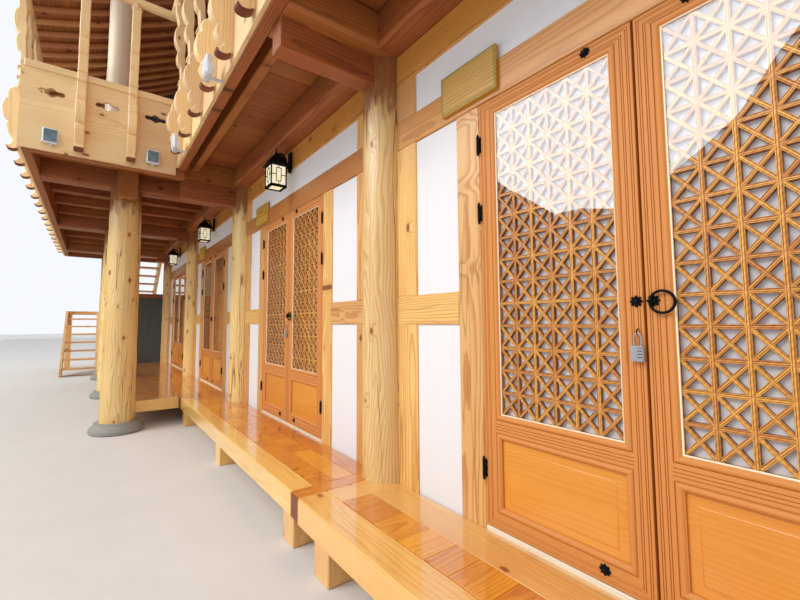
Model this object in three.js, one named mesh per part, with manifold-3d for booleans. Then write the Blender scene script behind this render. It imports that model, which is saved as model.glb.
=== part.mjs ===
// Two-storey timber hanok with a raised deck, latticed double doors, a carved balcony and tiled roofs.
// Millimetres, +Z up. The origin is at ground level under the middle front column, on the front wall's face.
// +X runs along the front towards the near end, and the front faces -Y.
import * as THREE from 'three';
import { mergeVertices } from 'three/addons/utils/BufferGeometryUtils.js';
import Module from 'manifold-3d';

const wasm = await Module();
wasm.setup();

// Shared clearances
const GAP = 0.3;
const DOOR_SIDE_GAP = 3;
const DOOR_END_GAP = 5;
const DOOR_MEETING_GAP = 9;

// Plan of the long wing
const BAYS = 4;
const BAY = 3060;
const DEPTH = 3600;
const WALL = 190;
const HALF_LENGTH = (BAYS * BAY) / 2;
const END_FACE = HALF_LENGTH + 95;
const RECESS = 12;

// Ground storey heights
const PLINTH_TOP = 176;
const FLOOR_TOP = 330;
const SILL_TOP = 336;
const DECK_TOP = 316;
const RAIL_LOW = 1253;
const RAIL_HIGH = 1421;
const DOOR_HEAD = 2335;
const TRANSOM_TOP = 2514;
const BEAM_LOW = 2750;
const ARM_LOW = 2775;
const GIRDER_LOW = 2953;
const PAV_BEAM_LOW = 2731;
const PAV_GIRDER_LOW = 2875;
const JOIST_LOW = 3060;
const GIRDER_TOP = 3184;
const UPPER_FLOOR_TOP = 3214;

// Columns and the wall pieces beside them, measured from a bay line; a column stands a little off its line
const COLUMN_R = 150;
const COLUMN_Y = 15;
const COLUMN_SHIFT = 28;
const LEFT_POST_END = 305;
const RIGHT_POST_END = 349;
const PANEL_END = 677;
const PIER_HALF = BAY / 2 - 700;

// Door leaves
const LEAF_THICK = 36;
const HINGE_R = 9;
const HINGE_Y = -(HINGE_R + 0.5);
const HINGE_LENGTH = 112;
const HINGE_Z = [2130, 1790, 591];
const STILE_HINGE = 90;
const STILE_LOCK = 80;
const LATTICE_LOW = 844;
const LATTICE_HIGH = 2258;
const PANEL_LOW = 437;
const PANEL_HIGH = 736;

// Decks
const DECK_FRONT = -575;
const DECK_FASCIA = 80;
const DECK_BOARD = 40;
const DECK_LEG = 149;
const DECK_JOINT_X = BAY + 20;

// Pavilion in front of the far bays
const PAV_X = [-590, -3355, -6120];
const PAV_Y = -1240;
const PAV_COLUMN_R = 180;
const PAV_UPPER_Y = -1380;
const PAV_UPPER_R = 118;
const PAV_STONE_R = 280;
const PAV_STONE_TOP = 120;
const PAV_DECK_EAST = -650;

// Balcony
const RIM_FRONT = -812;
const RIM_EAST = 317;
const RIM_SOUTH = -2124;
const RIM_WEST = -7025;
const RIM = 73;
const SKIRT = 25;
const SKIRT_LOW = 2968;
const PAV_SKIRT_LOW = 2890;
const SKIRT_TOP = 3727;
const BALUSTER = 80;
const HANDRAIL_Z = 4640;
const HANDRAIL_R = 46;
const HANDRAIL_OUT = 70;
const ARM_WIDTH = 120;
const ARM_END = -742;
const ARM_BACK = COLUMN_Y + 60;
const PAV_BEAM_HALF = 100;
const PAV_BEAM_REACH = 300;
const WALL_BEAM_FRONT = -161;
const WALL_BEAM_BACK = 140;
const GIRDER_WIDTH = 330;
const END_OVERHANG = 205;

// Upper storey
const UPPER_COLUMN_R = 105;
const UPPER_DOOR_LOW = 3254;
const UPPER_DOOR_HEAD = 5244;
const UPPER_WALL_TOP = 6093;
const PLATE = 200;

// Roofs
const ROOF_THICK = 160;
const OVERHANG = 1276;
const ROOF_JOINT_X = 900;
const WING_EAVE_Y = -1400;
const BLOCK_EAVE_Y = -2500;
const SLOPE_EAVE = 0.32;
const SLOPE_RIDGE = 0.72;
const GABLE_INSET = 1900;
const GABLE_WALL = 100;
const GABLE_VERGE = 120;
const CORNER_LIFT = 260;
const LIFT_REACH = 3200;
const RIDGE_HIGH = 254;
const RIDGE_WIDE = 250;
const TILE_PITCH = 280;
const TILE_WAVE = 40;

// Outside stair at the far end
const RISERS = 8;
const RISE = UPPER_FLOOR_TOP / (2 * RISERS);
const GOING = 250;
const STAIR_WIDE = 740;
const STRINGER = 50;

const columnX = (i) => HALF_LENGTH - i * BAY;
const columnAxisX = (i) => columnX(i) + COLUMN_SHIFT;

function material(color, roughness, metalness = 0) {
  return new THREE.MeshStandardMaterial({ color, roughness, metalness });
}

const PINE = 0xdda25c;
const VARNISHED = 0xc86e28;
const DARK_PINE = 0x8a4a22;
const PLASTER = 0xe4e4e8;
const STONE = 0x96968f;
const ROOF_TILE = 0x3c4046;
const PAPER = 0xdcdce0;
const IRON = 0x1b1b20;
const SLATE = 0x4a524e;

const house = new THREE.Group();

// Turns a closed three.js geometry into a solid
function solid(geometry) {
  const plain = geometry.clone();
  plain.deleteAttribute('normal');
  plain.deleteAttribute('uv');
  const merged = mergeVertices(plain, 1e-3);
  return new wasm.Manifold(new wasm.Mesh({
    numProp: 3,
    vertProperties: new Float32Array(merged.attributes.position.array),
    triVerts: new Uint32Array(merged.index.array),
  }));
}

function join(solids) {
  return solids.reduce((whole, next) => whole.add(next));
}

function cut(body, tools) {
  return tools.reduce((left, tool) => left.subtract(tool), body);
}

function addPiece(name, body, color, roughness = 0.6, metalness = 0) {
  const mesh = body.getMesh();
  const geometry = new THREE.BufferGeometry();
  geometry.setAttribute('position', new THREE.BufferAttribute(new Float32Array(mesh.vertProperties), 3));
  geometry.setIndex(new THREE.BufferAttribute(new Uint32Array(mesh.triVerts), 1));
  const piece = new THREE.Mesh(geometry, material(color, roughness, metalness));
  piece.name = name;
  house.add(piece);
  return piece;
}

function block(x0, x1, y0, y1, z0, z1) {
  const geometry = new THREE.BoxGeometry(x1 - x0, y1 - y0, z1 - z0);
  geometry.translate((x0 + x1) / 2, (y0 + y1) / 2, (z0 + z1) / 2);
  return solid(geometry);
}

function log(x, y, z0, z1, foot, head = foot, sides = 24) {
  const geometry = new THREE.CylinderGeometry(head, foot, z1 - z0, sides);
  geometry.rotateX(Math.PI / 2);
  geometry.translate(x, y, (z0 + z1) / 2);
  return solid(geometry);
}

function pole(from, to, radius, sides = 12) {
  const start = new THREE.Vector3(...from);
  const end = new THREE.Vector3(...to);
  const geometry = new THREE.CylinderGeometry(radius, radius, start.distanceTo(end), sides);
  const turn = new THREE.Quaternion().setFromUnitVectors(
    new THREE.Vector3(0, 1, 0), end.clone().sub(start).normalize());
  geometry.applyQuaternion(turn);
  geometry.translate(...start.add(end).multiplyScalar(0.5).toArray());
  return solid(geometry);
}

// Extrudes an outline drawn in the YZ plane along X from x0 to x1
function prismX(shape, x0, x1, curveSegments = 4) {
  const geometry = new THREE.ExtrudeGeometry(shape, { depth: x1 - x0, bevelEnabled: false, curveSegments });
  const toWorld = new THREE.Matrix4().makeBasis(
    new THREE.Vector3(0, 1, 0), new THREE.Vector3(0, 0, 1), new THREE.Vector3(1, 0, 0));
  geometry.applyMatrix4(toWorld);
  geometry.translate(x0, 0, 0);
  return solid(geometry);
}

// Extrudes an outline drawn in plan from z0 to z1
function prismZ(points, z0, z1) {
  const shape = new THREE.Shape(points.map(([x, y]) => new THREE.Vector2(x, y)));
  const geometry = new THREE.ExtrudeGeometry(shape, { depth: z1 - z0, bevelEnabled: false });
  geometry.translate(0, 0, z0);
  return solid(geometry);
}

// Stone plinth that the columns and walls stand on
function stonePlinth() {
  addPiece('stone_plinth', block(-END_FACE - 60, END_FACE + 60, -170, DEPTH + 60, 0, PLINTH_TOP), STONE, 0.9);
}

// Room floor with a threshold tongue in each doorway
function groundFloor() {
  const low = PLINTH_TOP + GAP;
  const inner = HALF_LENGTH - 95 - GAP;
  const pieces = [block(-inner, inner, WALL + GAP, DEPTH - WALL - GAP, low, FLOOR_TOP)];
  for (let bay = 0; bay < BAYS; bay += 1) {
    const centre = columnX(bay) - BAY / 2;
    const half = BAY / 2 - PIER_HALF - GAP;
    pieces.push(block(centre - half, centre + half, 0, WALL + 2 * GAP, low, SILL_TOP));
  }
  addPiece('ground_floor', join(pieces), PINE, 0.5);
}

// Round columns under the girders, each slotted at its head for the arm let into it
function frontColumns() {
  for (let i = 0; i <= BAYS; i += 1) {
    const x = columnAxisX(i);
    const half = ARM_WIDTH / 2 + GAP;
    const body = log(x, COLUMN_Y, PLINTH_TOP + GAP, GIRDER_LOW - GAP, COLUMN_R, COLUMN_R - 3);
    const slot = block(x - half, x + half, -2 * COLUMN_R, ARM_BACK + GAP, ARM_LOW - GAP, GIRDER_LOW);
    addPiece(`front_column_${i + 1}`, cut(body, [slot]), PINE, 0.55);
  }
}

// Posts and plaster on both sides of a column, in one piece behind it
function frontPiers() {
  for (let i = 0; i <= BAYS; i += 1) {
    const x = columnX(i);
    const left = i === BAYS ? -END_FACE : x - PIER_HALF;
    const right = i === 0 ? END_FACE : x + PIER_HALF;
    const tools = [log(columnAxisX(i), COLUMN_Y, 0, ARM_LOW, COLUMN_R + GAP)];
    for (const side of [-1, 1]) {
      if ((side < 0 && i === BAYS) || (side > 0 && i === 0)) continue;
      const a = side < 0 ? x - PANEL_END : x + RIGHT_POST_END;
      const b = side < 0 ? x - LEFT_POST_END : x + PANEL_END;
      tools.push(block(a, b, -1, RECESS, DECK_TOP, RAIL_LOW));
      tools.push(block(a, b, -1, RECESS, RAIL_HIGH, DOOR_HEAD - 1));
    }
    const body = cut(block(left, right, 0, WALL, PLINTH_TOP + GAP, DOOR_HEAD), tools);
    addPiece(`front_pier_${i + 1}`, body, PLASTER, 0.8);
  }
}

// Transom, plaster strip and wall beam over the doors, running behind the columns
function overDoorWall() {
  const tools = [];
  for (let i = 0; i <= BAYS; i += 1) tools.push(log(columnAxisX(i), COLUMN_Y, 0, GIRDER_LOW, COLUMN_R + GAP));
  for (let bay = 0; bay < BAYS; bay += 1) {
    tools.push(block(columnAxisX(bay + 1) + COLUMN_R - 5, columnAxisX(bay) - COLUMN_R + 5, -1, RECESS,
      TRANSOM_TOP, BEAM_LOW));
  }
  const wall = block(-END_FACE, END_FACE, 0, WALL, DOOR_HEAD + GAP, GIRDER_LOW - GAP);
  addPiece('over_door_wall', cut(wall, tools), PLASTER, 0.8);
}

// One door leaf, drawn with its hinge line at x = 0 and its width running along +X
function leafBody(width) {
  const low = SILL_TOP + DOOR_END_GAP;
  const high = DOOR_HEAD - DOOR_END_GAP;
  const start = DOOR_SIDE_GAP;
  const end = DOOR_SIDE_GAP + width;
  const frame = block(start, end, 0, LEAF_THICK, low, high);
  const a = start + STILE_HINGE;
  const b = end - STILE_LOCK;
  const sunk = 12;
  const tools = [
    block(a, b, -1, sunk, LATTICE_LOW, LATTICE_HIGH),
    block(a, b, LEAF_THICK - sunk, LEAF_THICK + 1, LATTICE_LOW, LATTICE_HIGH),
    block(a, b, -1, sunk - 4, PANEL_LOW, PANEL_HIGH),
  ];
  const field = block(a + 50, b - 50, 2, sunk, PANEL_LOW + 50, PANEL_HIGH - 50);
  const hinges = HINGE_Z.map((z) => join([
    log(0, HINGE_Y, z - HINGE_LENGTH / 2, z + HINGE_LENGTH / 2, HINGE_R, HINGE_R, 8),
    block(0, 34, -4, 1, z - HINGE_LENGTH / 2 + 6, z + HINGE_LENGTH / 2 - 6),
  ]));
  return join([cut(frame, tools), field, ...hinges]);
}

function doorLeaves() {
  const width = (BAY - 2 * PIER_HALF - 2 * DOOR_SIDE_GAP - DOOR_MEETING_GAP) / 2;
  const left = leafBody(width);
  const right = left.mirror([1, 0, 0]);
  for (let bay = 0; bay < BAYS; bay += 1) {
    const centre = columnX(bay) - BAY / 2;
    const half = BAY / 2 - PIER_HALF;
    addPiece(`door_${bay + 1}_left`, left.translate([centre - half, 0, 0]), PINE, 0.4);
    addPiece(`door_${bay + 1}_right`, right.translate([centre + half, 0, 0]), PINE, 0.4);
  }
}

// A run of deck between x0 and x1 with its front edge at y0: boards, bearers and square legs
function deckRun(x0, x1, y0, legs, tools) {
  const back = -GAP;
  const low = PLINTH_TOP + GAP;
  const pieces = [
    block(x0, x1, y0, back, DECK_TOP - DECK_BOARD, DECK_TOP),
    block(x0, x1, y0, y0 + DECK_FASCIA, low, DECK_TOP - DECK_BOARD + 1),
    block(x0, x1, -90, back, low, DECK_TOP - DECK_BOARD + 1),
    block(x0, x0 + DECK_FASCIA, y0, back, low, DECK_TOP - DECK_BOARD + 1),
    block(x1 - DECK_FASCIA, x1, y0, back, low, DECK_TOP - DECK_BOARD + 1),
  ];
  for (const [x, y] of legs) {
    pieces.push(block(x - DECK_LEG / 2, x + DECK_LEG / 2, y, y + DECK_LEG, 0, DECK_TOP - DECK_BOARD + 1));
    pieces.push(block(x - DECK_LEG / 2, x + DECK_LEG / 2, y, back, low, DECK_TOP - DECK_BOARD + 1));
  }
  return cut(join(pieces), tools);
}

function columnHoles(list) {
  return list.map((i) => log(columnAxisX(i), COLUMN_Y, 0, DECK_TOP + 10, COLUMN_R + 3));
}

function decks() {
  const legY = DECK_FRONT + 15;
  const nearLegs = [[DECK_JOINT_X + 250, legY], [DECK_JOINT_X + 1650, legY], [END_FACE - 120, legY]];
  const near = deckRun(DECK_JOINT_X + GAP, END_FACE, DECK_FRONT, nearLegs, columnHoles([0, 1]));
  addPiece('deck_bay_1', near, VARNISHED, 0.25);
  const middleLegs = [[DECK_JOINT_X - 180, legY], [DECK_JOINT_X - 1800, legY], [PAV_DECK_EAST + 250, legY]];
  const middle = deckRun(PAV_DECK_EAST + GAP, DECK_JOINT_X, DECK_FRONT + 8, middleLegs, columnHoles([1, 2]));
  addPiece('deck_bay_2', middle, VARNISHED, 0.25);
  const farLegs = [-1900, -3900, -5600].map((x) => [x, PAV_Y + 30]);
  const round = PAV_X.map((x) => log(x, PAV_Y, 0, DECK_TOP + 10, PAV_COLUMN_R + 3));
  const far = deckRun(-END_FACE, PAV_DECK_EAST, PAV_Y, farLegs, [...columnHoles([3, 4]), ...round]);
  addPiece('deck_pavilion', far, VARNISHED, 0.25);
}

// Grey board screen that closes the far end of the deck, with a beam along its head
function deckEndScreen() {
  const x0 = -END_FACE + 20;
  const front = PAV_Y + PAV_COLUMN_R + 5;
  const pieces = [
    block(x0, x0 + 40, front, -COLUMN_R, DECK_TOP + GAP, 1890),
    block(x0 - 10, x0 + 50, front, -COLUMN_R, 1885, 1985),
  ];
  addPiece('deck_end_screen', join(pieces), SLATE, 0.8);
}

// Rear and end walls of one storey, with windows cut through the rear
function rearAndEndWalls(low, high, sill, head) {
  const plan = [[-END_FACE, WALL + GAP], [-END_FACE, DEPTH], [END_FACE, DEPTH], [END_FACE, WALL + GAP],
    [END_FACE - WALL, WALL + GAP], [END_FACE - WALL, DEPTH - WALL], [-END_FACE + WALL, DEPTH - WALL],
    [-END_FACE + WALL, WALL + GAP]];
  const tools = [];
  const post = 110;
  const bands = [[low + 250, sill - 160], [head + 170, high - 150]];
  for (let bay = 0; bay < BAYS; bay += 1) {
    const centre = columnX(bay) - BAY / 2;
    const half = BAY / 2 - post;
    tools.push(block(centre - 550, centre + 550, DEPTH - WALL - 1, DEPTH + 1, sill, head));
    for (const side of [-1, 1]) {
      const a = centre + side * 660;
      const b = centre + side * half;
      tools.push(block(Math.min(a, b), Math.max(a, b), DEPTH - RECESS, DEPTH + 1, sill, head));
    }
    for (const [z0, z1] of bands) {
      tools.push(block(centre - half, centre + half, DEPTH - RECESS, DEPTH + 1, z0, z1));
    }
  }
  for (const side of [-1, 1]) {
    const face = side * END_FACE;
    for (const [y0, y1] of [[WALL + 160, DEPTH / 2 - 80], [DEPTH / 2 + 80, DEPTH - 210]]) {
      for (const [z0, z1] of [...bands, [sill, head]]) {
        tools.push(block(face - (side > 0 ? RECESS : 1), face + (side > 0 ? 1 : RECESS), y0, y1, z0, z1));
      }
    }
  }
  return cut(prismZ(plan, low, high), tools);
}

// One sheet behind the windows or screens of a wall
function windowSheet(name, y0, y1, sill, head, reach) {
  addPiece(name, block(-reach, reach, y0, y1, sill - 40, head + 40), PAPER, 0.3);
}

function outerWalls() {
  addPiece('ground_rear_and_end_walls',
    rearAndEndWalls(PLINTH_TOP + GAP, GIRDER_LOW - GAP, RAIL_HIGH, DOOR_HEAD), PLASTER, 0.8);
  windowSheet('ground_rear_windows', DEPTH - WALL - GAP - 10, DEPTH - WALL - GAP, RAIL_HIGH, DOOR_HEAD, 5180);
  const shift = UPPER_FLOOR_TOP - FLOOR_TOP;
  const plateTop = Math.min(underside(OVERHANG, WING_EAVE_Y), underside(OVERHANG, BLOCK_EAVE_Y)) - GAP;
  const rearPlate = block(-5200, 5200, DEPTH - WALL, DEPTH, UPPER_WALL_TOP - 1, plateTop);
  const upper = rearAndEndWalls(UPPER_FLOOR_TOP + GAP, UPPER_WALL_TOP, RAIL_HIGH + shift, DOOR_HEAD + shift);
  addPiece('upper_rear_and_end_walls', join([rearPlate, upper]), PLASTER, 0.8);
  windowSheet('upper_rear_windows', DEPTH - WALL - GAP - 10, DEPTH - WALL - GAP,
    RAIL_HIGH + shift, DOOR_HEAD + shift, 5180);
}

function girderY(x, y0, y1, low, width = GIRDER_WIDTH) {
  return block(x - width / 2, x + width / 2, y0, y1, low, GIRDER_TOP);
}

// Girders, arms, joists and rims that carry the upper floor and the balcony, parted at the inner corner
function floorFrame() {
  const east = END_FACE + END_OVERHANG;
  const behind = WALL_BEAM_FRONT + 6;
  const pieces = [
    block(-END_FACE, east, WALL_BEAM_FRONT, WALL_BEAM_BACK, GIRDER_LOW, GIRDER_TOP),
    block(-END_FACE, END_FACE, DEPTH - 195, DEPTH, GIRDER_LOW, GIRDER_TOP),
    block(RIM_EAST - RIM, east, RIM_FRONT, RIM_FRONT + RIM, GIRDER_LOW, GIRDER_TOP),
    block(east - RIM, east, RIM_FRONT, 0, GIRDER_LOW, GIRDER_TOP),
    block(RIM_EAST - RIM, RIM_EAST, RIM_SOUTH, RIM_FRONT + RIM, PAV_GIRDER_LOW, GIRDER_TOP),
    block(RIM_WEST, RIM_EAST, RIM_SOUTH, RIM_SOUTH + RIM, PAV_GIRDER_LOW, GIRDER_TOP),
    block(RIM_WEST, RIM_WEST + RIM, RIM_SOUTH, WALL_BEAM_BACK, PAV_GIRDER_LOW, GIRDER_TOP),
    block(RIM_WEST, -END_FACE + 1, 100, WALL_BEAM_BACK, GIRDER_LOW, GIRDER_TOP),
    block(PAV_X[0], east - 1, -633, -558, JOIST_LOW, GIRDER_TOP),
    block(RIM_WEST + 1, PAV_X[0] + PAV_BEAM_REACH, PAV_Y - PAV_BEAM_HALF, PAV_Y + PAV_BEAM_HALF,
      PAV_BEAM_LOW, GIRDER_TOP),
  ];
  for (let i = 0; i <= BAYS; i += 1) {
    const x = columnAxisX(i);
    const half = ARM_WIDTH / 2;
    const onWing = x > RIM_EAST;
    pieces.push(girderY(x, onWing ? RIM_FRONT + 1 : WALL_BEAM_FRONT, DEPTH, GIRDER_LOW));
    pieces.push(block(x - half, x + half, i <= 2 ? ARM_END : -300, ARM_BACK, ARM_LOW, GIRDER_LOW + 1));
  }
  pieces.push(block(columnAxisX(2) - ARM_WIDTH / 2, columnAxisX(2) + ARM_WIDTH / 2, RIM_FRONT + 1, 0,
    GIRDER_LOW, GIRDER_TOP));
  for (const x of PAV_X) pieces.push(girderY(x, RIM_SOUTH + 1, behind, PAV_GIRDER_LOW, 220));
  for (let x = RIM_WEST + 460; x < RIM_EAST - 200; x += 690) {
    pieces.push(block(x - 45, x + 45, RIM_SOUTH + 1, behind, JOIST_LOW, GIRDER_TOP));
  }
  for (let x = -HALF_LENGTH + 765; x < HALF_LENGTH; x += 765) {
    pieces.push(block(x - 50, x + 50, 100, DEPTH - 100, JOIST_LOW, GIRDER_TOP));
  }
  const whole = join(pieces);
  const reach = 2 * END_FACE;
  const within = (x0, x1) => whole.intersect(block(x0, x1, -reach, reach, 0, reach));
  addPiece('pavilion_floor_frame', within(-reach, RIM_EAST), DARK_PINE, 0.5);
  addPiece('wing_floor_frame', within(RIM_EAST + GAP, reach), DARK_PINE, 0.5);
}

function upperFloor() {
  const east = END_FACE + END_OVERHANG;
  const plan = [[RIM_WEST, RIM_SOUTH], [RIM_EAST, RIM_SOUTH], [RIM_EAST, RIM_FRONT], [east, RIM_FRONT],
    [east, 0], [END_FACE, 0], [END_FACE, DEPTH], [-END_FACE, DEPTH], [-END_FACE, 140], [RIM_WEST, 140]];
  addPiece('upper_floor', prismZ(plan, GIRDER_TOP + GAP, UPPER_FLOOR_TOP), DARK_PINE, 0.5);
}

// Thick round columns on stones, each slotted at its head for the beam let into it
function pavilionColumns() {
  const half = PAV_BEAM_HALF + GAP;
  const wide = PAV_COLUMN_R;
  const high = PAV_GIRDER_LOW - GAP;
  PAV_X.forEach((x, i) => {
    const body = log(x, PAV_Y, PAV_STONE_TOP + GAP, high, wide, wide - 15, 28);
    const slot = block(x - 2 * wide, x + 2 * wide, PAV_Y - half, PAV_Y + half, PAV_BEAM_LOW - GAP, high + 1);
    addPiece(`pavilion_column_${i + 1}`, cut(body, [slot]), PINE, 0.55);
    addPiece(`pavilion_stone_${i + 1}`,
      log(x, PAV_Y, 0, PAV_STONE_TOP, PAV_STONE_R, PAV_STONE_R - 50, 28), STONE, 0.9);
  });
}

// Side outline of a carved baluster: u is outwards from the skirt's face, whose lower edge is at low
function balusterShape(low) {
  const shape = new THREE.Shape();
  shape.moveTo(-5, low + 62);
  shape.quadraticCurveTo(45, low + 17, 100, low + 42);
  shape.quadraticCurveTo(75, low + 82, 60, low + 152);
  shape.bezierCurveTo(60, 3220, 150, 3260, 150, 3380);
  shape.bezierCurveTo(150, 3500, 60, 3560, 45, 3727);
  shape.bezierCurveTo(35, 3900, 60, 4200, 105, 4480);
  shape.lineTo(105, 4560);
  shape.lineTo(35, 4560);
  shape.lineTo(25, 4440);
  shape.bezierCurveTo(0, 4200, -5, 3900, -5, 3700);
  shape.closePath();
  return shape;
}

const evenly = (length, count) => Array.from({ length: count }, (_, i) => ((i + 0.5) * length) / count);

// A length of balustrade along +X from 0 to length, whose skirt's outer face is y = 0 and faces -Y.
// Its skirt starts before it by lead, where it runs on into an inner corner.
function balustrade(length, places, low, lead = 0) {
  const pieces = [
    block(-lead, length, 0, SKIRT, low, SKIRT_TOP),
    block(-Math.max(0, lead - 18), length, -18, SKIRT, SKIRT_TOP - 70, SKIRT_TOP),
    pole([0, -HANDRAIL_OUT, HANDRAIL_Z], [length, -HANDRAIL_OUT, HANDRAIL_Z], HANDRAIL_R),
  ];
  const mirrored = new THREE.Matrix4().makeScale(1, -1, 1).toArray();
  const outline = balusterShape(low);
  for (const x of places) {
    pieces.push(prismX(outline, x - BALUSTER / 2, x + BALUSTER / 2, 2).transform(mirrored));
    pieces.push(block(x - 55, x + 55, -HANDRAIL_OUT - 45, -HANDRAIL_OUT + 45, 4540, HANDRAIL_Z - 10));
  }
  return join(pieces);
}

function balustrades() {
  const east = END_FACE + END_OVERHANG;
  const clear = 1;
  const lead = HANDRAIL_OUT + 58;
  const frontStart = RIM_EAST + SKIRT + 2 + lead;
  const front = east - frontStart;
  addPiece('balustrade_front', balustrade(front, evenly(front, 13), SKIRT_LOW, lead)
    .translate([frontStart, RIM_FRONT - SKIRT - GAP, 0]), PINE);
  const inward = RIM_FRONT - RIM_SOUTH - SKIRT - clear;
  const thirds = [inward / 3, (2 * inward) / 3];
  addPiece('balustrade_return', balustrade(inward, thirds, PAV_SKIRT_LOW)
    .rotate([0, 0, 90]).translate([RIM_EAST + SKIRT + GAP, RIM_SOUTH, 0]), PINE);
  const south = RIM_EAST - RIM_WEST;
  addPiece('balustrade_pavilion', balustrade(south, evenly(south, 16), PAV_SKIRT_LOW)
    .translate([RIM_WEST, RIM_SOUTH - SKIRT - GAP, 0]), PINE);
  const west = -RIM_SOUTH - 900;
  addPiece('balustrade_west', balustrade(west, evenly(west, 3), PAV_SKIRT_LOW)
    .rotate([0, 0, -90]).translate([RIM_WEST - SKIRT - GAP, RIM_SOUTH + west, 0]), PINE);
  const side = -RIM_FRONT - clear;
  addPiece('balustrade_east', balustrade(side, evenly(side, 2), SKIRT_LOW)
    .rotate([0, 0, 90]).translate([east + SKIRT + GAP, RIM_FRONT + clear, 0]), PINE);
}

// Height of a roof's upper face above the eave, at distance d up the slope of a roof whose half span is run
function slopeHeight(d, run) {
  return SLOPE_EAVE * d + ((SLOPE_RIDGE - SLOPE_EAVE) * d * d) / (2 * run);
}

function roofRun(eaveY) {
  return (DEPTH + OVERHANG - eaveY) / 2;
}

// Each roof's eave lies at the height that seats its underside on the end wall
function eaveHeight(eaveY) {
  const toWall = HALF_LENGTH + OVERHANG - END_FACE;
  return UPPER_WALL_TOP + GAP + ROOF_THICK - slopeHeight(toWall, roofRun(eaveY));
}

// Height of the roof's underside over a line that runs at distance d from an eave
function underside(d, eaveY) {
  return eaveHeight(eaveY) - ROOF_THICK + slopeHeight(d, roofRun(eaveY));
}

// Grid lines half a tile row apart, counted from one edge of a row
function rowLines(low, high, edge) {
  const half = TILE_PITCH / 2;
  const list = [low, high];
  for (let at = edge - half * Math.ceil((edge - low) / half); at < high; at += half) {
    if (at > low + 20 && at < high - 20) list.push(at);
  }
  return list.sort((a, b) => a - b);
}

// A curved slab over a grid in plan, with tile rows as waves on its upper face
function tiledSlab(xs, ys, base, wave) {
  const geometry = new THREE.BoxGeometry(1, 1, 1, xs.length - 1, ys.length - 1, 1);
  const position = geometry.attributes.position;
  for (let i = 0; i < position.count; i += 1) {
    const x = xs[Math.round((position.getX(i) + 0.5) * (xs.length - 1))];
    const y = ys[Math.round((position.getY(i) + 0.5) * (ys.length - 1))];
    const raised = position.getZ(i) > 0 ? wave(x, y) : -ROOF_THICK;
    position.setXYZ(i, x, y, base(x, y) + raised);
  }
  return solid(geometry);
}

// A built-up ridge along a path of foot points
function ridgeBar(path, wide, high, sunk = 60) {
  const last = path.length - 1;
  const geometry = new THREE.BoxGeometry(1, 1, 1, last, 1, 1);
  const position = geometry.attributes.position;
  for (let i = 0; i < position.count; i += 1) {
    const k = Math.round((position.getX(i) + 0.5) * last);
    const before = path[Math.max(0, k - 1)];
    const after = path[Math.min(last, k + 1)];
    const length = Math.hypot(after[0] - before[0], after[1] - before[1]);
    const head = position.getZ(i) > 0;
    const u = (Math.sign(position.getY(i)) * wide * (head ? 0.35 : 0.5)) / length;
    position.setXYZ(i, path[k][0] - (after[1] - before[1]) * u, path[k][1] + (after[0] - before[0]) * u,
      path[k][2] + (head ? high : -sunk));
  }
  return solid(geometry);
}

// One curved tiled roof, with its plan, its heights and the side on which its end is hipped
function roofPlan(x0, x1, y0, hipSide) {
  const y1 = DEPTH + OVERHANG;
  const run = roofRun(y0);
  const eave = eaveHeight(y0);
  const hipX = hipSide < 0 ? x0 : x1;
  const fromEnd = (x) => Math.abs(x - hipX);
  const fromEave = (y) => Math.min(y - y0, y1 - y);
  const lift = (x, y) => CORNER_LIFT * Math.max(0, 1 - Math.hypot(fromEave(y), fromEnd(x)) / LIFT_REACH) ** 2;
  const side = (x, y) => eave + slopeHeight(fromEave(y), run) + lift(x, y);
  const end = (x, y) => eave + slopeHeight(fromEnd(x), run) + lift(x, y);
  return { x0, x1, y0, y1, run, eave, hipX, hipSide, side, end, ridgeY: (y0 + y1) / 2 };
}

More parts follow.
